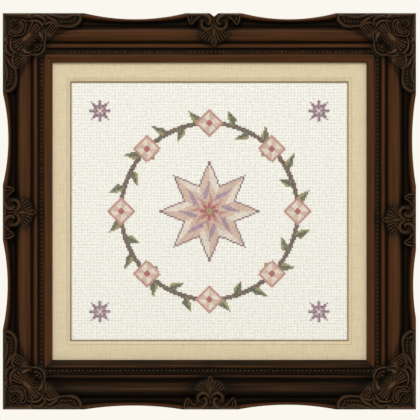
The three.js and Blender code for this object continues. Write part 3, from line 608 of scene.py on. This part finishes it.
corner_strands += both(
    (1, [(2.6, 1.5, 3.2, 2.6), (18, 2.2, 3.2, 2.4), (34, 2.2, 3.0, 2.2)]),
    (1, [(19.6, 4.6, 1.6, 2), (25, 4.2, 2, 2.8), (29.6, 6.4, 1.6, 2.4)]),
    (1, [(29.6, 3.4, 4, 3), (31.8, 3.8, 5.4, 4), (33.6, 4.6, 3, 3)]),
    (1, [(29.4, 10.4, 1.8, 2.4), (36, 9.2, 3, 3.6), (43.4, 10.8, 3.2, 3.8), (47.6, 16.4, 2.2, 3)]),
    (1, [(43, 22.4, 2.4, 2.6), (44.8, 25.8, 6, 4.2), (46.6, 29.6, 4, 3.8), (45.4, 33.8, 1.8, 2.4)]),
    (1, [(50.2, 20.4, 1.6, 1.6), (50.8, 26, 2.4, 2.8), (50.2, 32, 1.8, 2)]),
    (2, [(33.4, 6.6, 2, 2.6), (38, 4.2, 3.2, 3.8), (44, 4.4, 3.8, 4.4), (49, 7.2, 3.6, 4.4), (50.4, 11, 3, 4),
         (47.8, 13.2, 2.4, 3.6), (45.4, 11.6, 1.8, 3)]),
    (1, [(50.6, 14, 1.8, 3), (55, 11.4, 2.8, 4), (61, 12.8, 2.8, 4), (66, 16.6, 1.8, 3.2)]),
    (2, [(51.6, 4.4, 2.2, 3), (57, 6.6, 4.2, 4.4), (62.6, 10.4, 4.2, 4.4), (67.4, 15.4, 1.6, 3)]),
    (2, [(66, 14.8, 2.2, 3), (73.4, 16.2, 3.2, 4), (81.6, 15.8, 3.4, 4.2), (88.8, 12.2, 3.6, 4.2),
         (92.4, 6.4, 3.6, 4.2), (90.6, 2.6, 3, 3.6), (87, 3.4, 2, 3)]),
    (2, [(56, 2.2, 2.4, 2.8), (66, 4.6, 3.2, 3.6), (76, 5.2, 3.2, 3.4), (83.4, 3, 2.2, 2.6)]),
    (1, [(84.4, 8.4, 1.6, 2.4), (86.6, 5.4, 2, 3)]),
    *[(1, [(69.4 + 3.7 * k, 10.5, 2.5, 2.6), (69.8 + 3.7 * k, 10.5, 2.5, 2.6)]) for k in range(5)],
)
corner_pits = [(place, 2.2, 4.5) for place in ((43.4, 31.4), (41, 34.8), (38, 38), (34.8, 41), (31.4, 43.4))]
plan, face, under, relief, faces = casting(corner_outline, corner_strands, corner_pits, np.minimum)
values = {"relief": np.append(relief, np.zeros_like(relief))}
for row, side_z in (("top", 1), ("bottom", -1)):
    for hand, side_x in (("left", -1), ("right", 1)):
        x, z = side_x * (HALF_WIDE - plan[:, 0]), side_z * (HALF_HIGH - plan[:, 1])
        points = np.vstack([np.stack([x, -h, z], 1) for h in (face, under)]) * MM
        name = f"{row}_{hand}"
        corner = piece(f"{name}_corner_casting", points, faces, cast_composition, None, values, 75)
        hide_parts(f"corner_ornament_{name}")
        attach(corner, "frame")


# ---- Centre ornaments
# A smaller casting in the middle of each rail: two scrolls that curl in below leaf tips, over a palmette that
# hangs from a V. The four come from one mould, each a little off its rail's middle.

HALF_CENTRE = [
    (4.8, 0.4), (31, 0.4), (32.4, 7), (28, 14.6), (24, 13.4), (20.4, 8.6), (18, 9), (17.6, 16.4), (13.6, 21),
    (17.4, 24), (15.6, 30.4), (9.8, 34.6), (3.4, 36.6), (1.8, 40),
]
lobe = smooth_path(HALF_CENTRE[1:], 5)
half_outline = np.vstack([[(0, NOTCH_DEPTH), (4.8, 0.4)], lobe])
centre_outline = np.vstack([half_outline, (half_outline * (-1, 1))[:0:-1]])


def pair(*strands):
    """Each strand and its mirror image across the middle."""
    return [side for ridges, strand in strands for side in ((ridges, strand), (ridges, flipped(strand)))]


centre_strands = [                       # the palmette's body, then the ridges on it
    (1, [(0, 20, 10, 1), (0, 29, 18, 0.8), (0, 36, 7, 0)]),
    (1, [(0, 6.4, 1.6, 2.6), (0, 19, 1.8, 3)]),
    (1, [(0, 19, 1.6, 3), (0, 24.6, 4.4, 4.8), (0, 28.4, 1.8, 3)]),
    (1, [(-1.4, 27.6, 1.5, 3.2), (-2.4, 32.4, 1.8, 3.8), (-1.9, 37, 1.8, 3.8), (0, 39, 1.8, 3.6),
         (1.9, 37, 1.8, 3.8), (2.4, 32.4, 1.8, 3.8), (1.4, 27.6, 1.5, 3.2)]),
] + pair(
    (2, [(16, 1.8, 2.6, 3), (10.4, 2.8, 4, 4.2), (6, 5.4, 4.6, 5), (4.2, 9.4, 4.4, 5), (5.8, 13, 3.6, 4.6),
         (8.6, 13, 2, 3.6)]),
    (1, [(16, 1.8, 2, 2.4), (22, 1.8, 2.4, 2.6), (28.8, 2, 2.4, 2.4)]),
    (2, [(1.8, 12.8, 2, 3.6), (2.8, 16.8, 3.6, 4.8), (6.8, 19.6, 4.2, 5), (11.6, 18.6, 4.2, 5),
         (14.6, 14.6, 3.6, 4.6), (13.8, 10.6, 2.6, 4), (11.6, 10.2, 1.6, 3)]),
    (1, [(13.6, 8.4, 1.4, 2), (16.8, 11, 1.7, 2.8), (17.2, 16, 1.4, 2.2)]),
    (1, [(30.6, 2.4, 2, 2.6), (29.8, 8.4, 2.2, 3.4), (27.2, 14.2, 1.8, 3)]),
    (1, [(27.2, 14.2, 1.8, 3), (24, 11, 2.2, 3.6), (20.2, 6.4, 2.2, 3.4), (17, 4, 1.6, 2.6)]),
    (1, [(26.8, 4.2, 1.5, 2.2), (26.4, 8.6, 1.6, 2.6), (25.4, 10, 1.4, 2.2)]),
    (1, [(1.8, 21.6, 1.5, 3), (4.2, 27, 1.8, 4), (6.4, 32.2, 2, 4)]),
    (1, [(3.2, 21.8, 1.5, 3), (7.2, 26.4, 1.8, 4), (10.4, 30.8, 2, 4)]),
    (1, [(5, 21.8, 1.5, 3), (9.8, 24.8, 1.8, 3.8), (13.6, 28.6, 2, 3.8)]),
    (1, [(7.6, 21.6, 1.4, 2.6), (11.6, 22.8, 1.7, 3.4), (15.6, 25.2, 1.8, 3.4)]),
)
centre_pits = [((-10, 14.6), 2.0, 3.0), ((10, 14.6), 2.0, 3.0)]
plan, face, under, relief, faces = casting(centre_outline, centre_strands, centre_pits, lambda p, q: q)
values = {"relief": np.append(relief, np.zeros_like(relief))}
for side, place in PLACES.items():
    along, inward = CENTRE_AT[side] + plan[:, 0], plan[:, 1]
    points = np.vstack([np.stack(place(along, inward, h), 1) for h in (face, under)]) * MM
    centre = piece(f"{side}_centre_casting", points, faces, cast_composition, None, values, 75)
    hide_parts(f"centre_ornament_{side}")
    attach(centre, "frame")


# ---- Linen mat
# A thick mat board covered in natural linen. The cloth is flush at the outer edge, glued over the front and
# the window's bevel, rubbed into a line scored beside it, and turned round to the back of the window.

mat_low, mat_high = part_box("linen_mat")
MAT_HALF = (mat_high.x / MM, mat_high.z / MM)
MAT_FRONT, MAT_BACK = -mat_low.y / MM, -mat_high.y / MM
WINDOW_HALF = (165.8, 154.8)             # where the bevel ends at the back
MARGIN = MAT_HALF[0] - WINDOW_HALF[0]
BEVEL = 3.0
SCORE = 0.8                              # depth of the scored line
LINEN_THICK = 0.3
TURNED_IN = 14
GLUE = 0.05


def frame_ring(name, loop, material, per_side=60, wander=0.0):
    """A closed section (inward, height) carried round the mat's rectangle. Inward runs from the outer edge
    to the window, and is shared out so that all four margins come out right. wander is how far the surface
    lies up and down in long waves, the product of two sines."""
    around = np.linspace(-1, 1, per_side, endpoint=False)
    one = np.ones(per_side)
    sides = ((around, -one), (one, around), (-around, one), (-one, -around))
    square = np.concatenate([np.stack(line, 1) for line in sides])
    inward, height = np.asarray(loop, float).T
    half = [MAT_HALF[k] - inward * (MAT_HALF[k] - WINDOW_HALF[k]) / MARGIN for k in (0, 1)]
    x, z = square[:, 0, None] * half[0], square[:, 1, None] * half[1]
    lift = wander * np.sin(x / 17 + z / 23) * np.sin(x / 31 - z / 13)
    points = np.stack([x, -(height + lift), z], -1).reshape(-1, 3) * MM
    rows, columns = net(len(square), len(inward), True, True)
    return piece(name, points, (rows % len(square)) * len(inward) + columns % len(inward), material)


def flat_on(tree):
    """Object coordinates turned so that x runs to the right and y up the picture."""
    place = add(tree, "TexCoord").outputs["Object"]
    turned = add(tree, "VectorRotate", {"Vector": place, "Angle": math.radians(90)}, rotation_type="X_AXIS")
    return turned.outputs[0]


def woven(name, thread, gap_shade, pitch_mm, contrast, bump_mm, slub):
    """Plain-woven cloth: two sets of threads at right angles, each painted lighter on its crown and darker
    towards the gaps between threads, a painted highlight and painted shade of the weave, in Object
    coordinates. slub is how much longer, thicker places there are in the yarn."""
    made, tree, shader = new_material(name)
    place = flat_on(tree)
    crowns = []
    for axis, drawn_out in (("X", (700, 60, 1)), ("Y", (60, 700, 1))):
        wave = add(tree, "TexWave", {
            "Vector": place, "Scale": 2 * math.pi / (20 * pitch_mm * MM), "Distortion": 0.6, "Detail": 1.0,
            "Detail Scale": 2.0}, wave_type="BANDS", bands_direction=axis, wave_profile="SIN")
        drawn = add(tree, "Mapping", {"Vector": place, "Scale": drawn_out})
        yarn = add(tree, "TexNoise", {"Vector": drawn.outputs[0], "Scale": 1.0, "Detail": 2.0})
        crowns.append(add(tree, "Math", {0: yarn.outputs["Fac"], 1: slub, 2: wave.outputs["Fac"]},
                          operation="MULTIPLY_ADD").outputs[0])
    height = add(tree, "Math", {0: crowns[0], 1: crowns[1]}, operation="ADD").outputs[0]
    shade = add(tree, "MapRange", {"Value": height, "From Min": 0.3, "From Max": 1.7 + slub,
                                   "To Min": 1 - contrast, "To Max": 1.0})
    tint = add(tree, "Mix", {0: shade.outputs[0], 6: colour(gap_shade), 7: colour(thread)}, data_type="RGBA")
    bump = add(tree, "Bump", {"Height": height, "Strength": 0.6, "Distance": bump_mm * MM})
    fill(shader, {"Base Color": tint.outputs[2], "Normal": bump.outputs[0], "Roughness": 0.92,
                  "Sheen Weight": 0.15})
    return made


# Linen threads are about 0.6 mm apart; they are drawn at 1.1 mm, so that the weave shows in the picture.
linen = woven("natural_linen", "#dfd3b5", "#9c8a5e", pitch_mm=1.1, contrast=0.75, bump_mm=0.10, slub=2.6)
lip, hem = MARGIN - BEVEL, MARGIN - TURNED_IN
top_of_board = MAT_FRONT - LINEN_THICK
outer_front = [
    *((k, MAT_FRONT) for k in (0, 4, 8, 12, 16, 20)), (lip - 1.4, MAT_FRONT), (lip - 0.95, MAT_FRONT - SCORE),
    (lip - 0.5, MAT_FRONT), (lip, MAT_FRONT - 0.2)]
bevel_foot = [
    (MARGIN - 0.15, MAT_BACK + 0.35), (MARGIN, MAT_BACK + 0.1), (MARGIN - 0.2, MAT_BACK - 0.12),
    (hem, MAT_BACK - 0.12)]
inside = [
    (hem, MAT_BACK), (MARGIN - 0.55, MAT_BACK + 0.1), (lip - 0.3, MAT_FRONT - 0.5),
    (lip - 0.7, top_of_board - SCORE), (lip - 1.3, top_of_board - SCORE), (lip - 1.8, top_of_board),
    (0, top_of_board)]
linen_cover = frame_ring("linen_cover", outer_front + bevel_foot + inside, linen, wander=0.03)
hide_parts("linen_mat")
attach(linen_cover, "frame")


def mottled(name, low, high, specks, detail, rough):
    """A matt material with fine specks between two colours, so many to the metre: the pulp of paper and card,
    or the grit of rubber."""
    made, tree, shader = new_material(name)
    place = add(tree, "TexCoord").outputs["Object"]
    noise = add(tree, "TexNoise", {"Vector": place, "Scale": specks, "Detail": detail})
    tint = add(tree, "Mix", {0: noise.outputs["Fac"], 6: colour(low), 7: colour(high)}, data_type="RGBA")
    fill(shader, {"Base Color": tint.outputs[2], "Roughness": rough})
    return made


board = mottled("white_mat_board", "#dcd7ca", "#f0ede3", specks=900, detail=3, rough=0.9)
core = [
    (0, MAT_BACK + GLUE), (0, top_of_board - GLUE), (lip - 2, top_of_board - GLUE),
    (lip - 1.4, top_of_board - SCORE - 2 * GLUE), (lip - 0.9, top_of_board - SCORE - 2 * GLUE),
    (MARGIN - 0.9, MAT_BACK + GLUE)]
mat_board = frame_ring("mat_board", core, board, per_side=1)
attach(mat_board, "frame")


# ---- Undermat
# A thin card of brown pulp lies behind the mat. Its window is cut a little smaller, so that its edge draws a
# fine dark line round the cloth.

def dress(name, material):
    """Gives a piece of the built frame its own material."""
    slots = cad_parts[name].data.materials
    slots.clear()
    slots.append(material)


dress("brown_undermat", mottled("brown_card", "#6d5737", "#8d7550", specks=700, detail=4, rough=0.88))


# ---- Embroidered cloth
# White Aida cotton with 14 stitches to the inch, woven in small blocks with a hole at each corner. It is
# stretched over the mounting board.

cloth_low, cloth_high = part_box("embroidered_cloth")
CLOTH_HALF = (cloth_high.x, cloth_high.z)
CLOTH_BACK = -cloth_high.y
CLOTH_THICK = 0.9 * MM
CLOTH_FRONT = CLOTH_BACK + CLOTH_THICK
STITCH = 25.4 / 14 * MM
DRAWN_BLOCK = 2 * STITCH                 # drawn in twos, as the picture can't show the blocks singly
CLOTH_CELLS = 96

aida, tree, shader = new_material("aida_cotton")
place = flat_on(tree)
wobble = add(tree, "TexNoise", {"Vector": place, "Scale": 340.0, "Detail": 3.0, "Roughness": 0.7})
bars = [add(tree, "TexWave", {"Vector": place, "Scale": 2 * math.pi / (20 * DRAWN_BLOCK), "Distortion": 1.6,
                              "Detail": 2.0, "Detail Scale": 1.2},
            wave_type="BANDS", bands_direction=axis).outputs["Fac"] for axis in ("X", "Y")]
# The holes between the blocks are darker: painted shade in the holes.
hole_shade = add(tree, "Math", {0: bars[0], 1: 0.7, 2: bars[1]}, operation="MULTIPLY_ADD")
uneven = add(tree, "Math", {0: wobble.outputs["Fac"], 1: 5.0, 2: hole_shade.outputs[0]}, operation="MULTIPLY_ADD")
shade = add(tree, "MapRange", {"Value": uneven.outputs[0], "From Min": 1.7, "From Max": 4.6},
            interpolation_type="SMOOTHSTEP")
tint = add(tree, "Mix", {0: shade.outputs[0], 6: colour("#d6d9d2"), 7: colour("#f6f8f8")}, data_type="RGBA")
bump = add(tree, "Bump", {"Height": uneven.outputs[0], "Strength": 0.5, "Distance": 0.25 * MM})
fill(shader, {"Base Color": tint.outputs[2], "Normal": bump.outputs[0], "Roughness": 0.95})

# The face lies in shallow waves, the product of two sines, and the back is flat on the board.
ACROSS_WAVE, UP_WAVE, PUCKER = 21 * MM, 27 * MM, 0.05 * MM
across, up = np.meshgrid(*(np.linspace(-half, half, CLOTH_CELLS + 1) for half in CLOTH_HALF), indexing="ij")
front_y = -CLOTH_FRONT - PUCKER * np.sin(across / ACROSS_WAVE + 1.3) * np.sin(up / UP_WAVE)
faced = [np.stack([across, y, up], -1).reshape(-1, 3) for y in (front_y, np.full_like(across, -CLOTH_BACK))]
rows, columns = net(CLOTH_CELLS + 1, CLOTH_CELLS + 1, False, False)
faces = closed_plate(rows * (CLOTH_CELLS + 1) + columns, across.size)
cloth = piece("aida_cloth", np.vstack(faced), faces, aida)
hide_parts("embroidered_cloth")
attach(cloth, "frame")


# ---- Cross stitches
# Two strands of cotton floss, stitched over one block each: the lower leg rises to the right and the upper
# leg crosses it. The design is a traditional eight-pointed star in a wreath, with rosettes and corner stars.

STAR = dict(points=8, outer=34, inner=18.4)              # sizes are in stitches
WREATH_RADIUS, WREATH_HALF = 58, 1.5
LEAVES, LEAF_LONG, LEAF_WIDE, LEAF_WIDEST, LEAF_LEAN = 32, 12, 5.6, 0.35, 40
VEIN_LONG, VEIN_HALF = 8, 0.6
ROSETTE = dict(points=4, outer=9, inner=6.5)
ROSETTES = 8
CORNER_STAR = dict(points=8, outer=8.5, inner=4)
CORNER_STAR_AT = (72, 66)

FLOSS = {
    "ivory": "#ebe4da", "shell_pink": "#dcc3b6", "coral": "#c8968a", "lilac": "#b393ad", "mauve": "#8f6f7f",
    "rose": "#b75a63", "olive": "#a59c63", "moss": "#6f7350", "dark_green": "#4c5a4c", "brown": "#6d5548",
}
NAMES = list(FLOSS)


def star_share(x, z, points, outer, inner):
    """How far out a place is in a star, 1 on its outline, and on which side of its nearest point's middle.
    The outline runs straight from each tip to the notches beside it, and the sine rule gives its distance."""
    step = math.pi / points
    angle = np.mod(np.arctan2(z, x), 2 * step)
    side = angle > step
    off = np.where(side, 2 * step - angle, angle)
    edge = outer * inner * math.sin(step) / (outer * np.sin(off) + inner * np.sin(step - off))
    return np.hypot(x, z) / edge, side


grid_x, grid_z = np.meshgrid(np.arange(-86, 86) + 0.5, np.arange(-80, 80) + 0.5, indexing="ij")
floss = np.full(grid_x.shape, -1)


def paint(where, name):
    """Gives the stitches of an area their floss."""
    floss[where] = NAMES.index(name)


def paint_star(x, z, star, layers):
    """Paints a star at a place, layer on layer. A layer is how far out it reaches, as a share of the star,
    and its floss on the one side of each point's middle and on the other."""
    share, side = star_share(grid_x - x, grid_z - z, **star)
    for reach, one, other in layers:
        paint((share < reach) & side, one)
        paint((share < reach) & ~side, other)


paint(np.abs(np.hypot(grid_x, grid_z) - WREATH_RADIUS) < WREATH_HALF, "brown")
for k in range(LEAVES):
    around = 2 * math.pi * (k + 0.5) / LEAVES
    heading = around + math.radians(LEAF_LEAN if k % 2 == 0 else 180 - LEAF_LEAN)
    dx, dz = grid_x - WREATH_RADIUS * math.cos(around), grid_z - WREATH_RADIUS * math.sin(around)
    along = dx * math.cos(heading) + dz * math.sin(heading)
    aside = -dx * math.sin(heading) + dz * math.cos(heading)
    widest = LEAF_WIDEST * LEAF_LONG
    taper = np.where(along < widest, along / widest, (LEAF_LONG - along) / (LEAF_LONG - widest))
    leaf = np.abs(aside) < LEAF_WIDE / 2 * taper
    paint(leaf & (aside >= 0), "olive")
    paint(leaf & (aside < 0), "moss")
    paint(leaf & (np.abs(aside) < VEIN_HALF) & (along < VEIN_LONG), "dark_green")
for around in 2 * math.pi * np.arange(ROSETTES) / ROSETTES:
    paint_star(WREATH_RADIUS * math.cos(around), WREATH_RADIUS * math.sin(around), ROSETTE,
               [(1, "coral", "coral"), (0.78, "shell_pink", "ivory"), (0.3, "rose", "rose")])
for side_x in (-1, 1):
    for side_z in (-1, 1):
        paint_star(side_x * CORNER_STAR_AT[0], side_z * CORNER_STAR_AT[1], CORNER_STAR,
                   [(1, "lilac", "mauve"), (0.3, "ivory", "ivory")])
paint_star(0, 0, STAR, [
    (1, "mauve", "mauve"), (0.93, "ivory", "shell_pink"), (0.62, "shell_pink", "lilac"),
    (0.4, "coral", "shell_pink"), (0.2, "rose", "rose"), (0.1, "olive", "olive")])

# One leg: a three-sided arched bar with its ends closed, as [along, aside, up] in stitches.
LEG_SPANS = 1.32 * np.array([-0.5, -0.25, 0.25, 0.5])
LEG_RISE = np.array([0.0, 0.26, 0.26, 0.0])
LEG_HALF = np.array([0.16, 0.25, 0.25, 0.16])
OVER = 0.06                              # how much higher the upper leg lies
PLACE_SPREAD, PLUMP_SPREAD = 0.03, 0.08  # how unevenly the stitches lie and swell
leg = np.stack(np.broadcast_arrays(
    LEG_SPANS[:, None], LEG_HALF[:, None] * np.array([-1, 0, 1]),
    LEG_RISE[:, None] * np.array([0.35, 1, 0.35]) + np.array([-0.05, 0.06, -0.05])), -1).reshape(-1, 3)
rows, columns = net(len(LEG_SPANS), 3, False, True)
leg_faces = (rows * 3 + columns % 3).tolist() + [[0, 1, 2], [11, 10, 9]]
along, aside, high = leg.T
turn = math.sqrt(0.5)
lower = np.stack([turn * (along - aside), turn * (along + aside), high], 1)
upper = np.stack([turn * (along + aside), turn * (aside - along), high + OVER], 1)
cross = np.vstack([lower, upper])
cross_faces = leg_faces + [[v + len(leg) for v in face] for face in leg_faces]


def cotton(name, tone):
    """Cotton floss: matt, soft, and a little lighter and darker along its twist."""
    made, tree, shader = new_material(name)
    place = add(tree, "TexCoord").outputs["Object"]
    noise = add(tree, "TexNoise", {"Vector": place, "Scale": 420.0, "Detail": 3.0})
    uneven = add(tree, "MapRange", {"Value": noise.outputs["Fac"], "From Min": 0.25, "From Max": 0.75,
                                    "To Min": 0.78, "To Max": 1.12})
    twist = add(tree, "Mix", {0: 1.0, 6: colour(tone), 7: uneven.outputs[0]},
                data_type="RGBA", blend_type="MULTIPLY")
    fill(shader, {"Base Color": twist.outputs[2], "Roughness": 0.6, "Sheen Weight": 0.3})
    return made


dice = np.random.default_rng(14)
for number, (name, tone) in enumerate(FLOSS.items()):
    i, j = np.nonzero(floss == number)
    centres = np.stack([grid_x[i, j], grid_z[i, j]], 1) + dice.normal(0, PLACE_SPREAD, (len(i), 2))
    plumper = 1 + dice.normal(0, PLUMP_SPREAD, (len(i), 1))
    x, z = (centres[:, k, None] + cross[:, k] for k in (0, 1))
    y = -CLOTH_FRONT / STITCH - cross[:, 2] * plumper
    points = np.stack([x, y, z], -1).reshape(-1, 3) * STITCH
    faces = [[v + k * len(cross) for v in face] for k in range(len(i)) for face in cross_faces]
    stitched = piece(f"{name}_stitches", points, faces, cotton(f"{name}_floss", tone), smooth=60)
    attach(stitched, "frame")


# ---- Boards behind the cloth
# The cloth is laced over a white mounting board. Behind it a sheet of hardboard closes the back, its edges
# bevelled so that it slides in under the turn buttons.

dress("mounting_board", board)

# Hardboard is wood fibre pressed smooth: clouded brown, flecked with finer fibre, with a dull sheen.
hardboard, tree, shader = new_material("hardboard")
place = add(tree, "TexCoord").outputs["Object"]
fine = add(tree, "TexNoise", {"Vector": place, "Scale": 420.0, "Detail": 6.0, "Roughness": 0.7})
wide = add(tree, "TexNoise", {"Vector": place, "Scale": 18.0, "Detail": 4.0})
fibre = add(tree, "Math", {0: wide.outputs["Fac"], 1: 0.6, 2: fine.outputs["Fac"]}, operation="MULTIPLY_ADD")
dense = add(tree, "MapRange", {"Value": fibre.outputs[0], "From Min": 0.45, "From Max": 1.15})
tint = add(tree, "Mix", {0: dense.outputs[0], 6: colour("#6e4a2c"), 7: colour("#a27a50")}, data_type="RGBA")
bump = add(tree, "Bump", {"Height": fine.outputs["Fac"], "Strength": 0.3, "Distance": 0.3 * MM})
fill(shader, {"Base Color": tint.outputs[2], "Normal": bump.outputs[0], "Roughness": 0.68})
dress("backing_board", hardboard)


# ---- Metal on the back
# Brassed turn buttons under slotted screws hold the backing board. V-nails pull the mitres together, and a
# zinc-plated sawtooth hanger is nailed to the top rail.

def plated(name, pale, dull, rough):
    """Plated steel: bright metal with clouds of duller plating and short rolling scratches."""
    made, tree, shader = new_material(name)
    place = add(tree, "TexCoord").outputs["Object"]
    clouds = add(tree, "TexNoise", {"Vector": place, "Scale": 160.0, "Detail": 4.0})
    drawn = add(tree, "Mapping", {"Vector": place, "Scale": (200, 200, 4000)})
    scratches = add(tree, "TexNoise", {"Vector": drawn.outputs[0], "Scale": 1.0, "Detail": 3.0})
    tint = add(tree, "Mix", {0: clouds.outputs["Fac"], 6: colour(dull), 7: colour(pale)}, data_type="RGBA")
    gloss = add(tree, "MapRange", {"Value": clouds.outputs["Fac"], "From Min": 0.3, "From Max": 0.7,
                                   "To Min": rough + 0.12, "To Max": rough})
    bump = add(tree, "Bump", {"Height": scratches.outputs["Fac"], "Strength": 0.15, "Distance": 0.1 * MM})
    fill(shader, {"Base Color": tint.outputs[2], "Roughness": gloss.outputs[0], "Normal": bump.outputs[0],
                  "Metallic": 1.0})
    return made


brass = plated("brassed_steel", "#d8b768", "#a9863f", 0.28)
zinc = plated("zinc_plated_steel", "#c4c7c9", "#92979b", 0.32)
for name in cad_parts:
    if name.startswith(("turn_button", "button_screw")):
        dress(name, brass)
    if name.startswith(("v_nail", "sawtooth", "hanger_nail")):
        dress(name, zinc)


# ---- Bumper pads
# Two pads of black rubber are stuck on at the lower corners. They hold the foot of the frame off the wall
# and keep it from sliding.

rubber = mottled("black_rubber", "#1d1d1d", "#343434", specks=900, detail=3, rough=0.8)
for side in ("left", "right"):
    dress(f"bumper_pad_{side}", rubber)
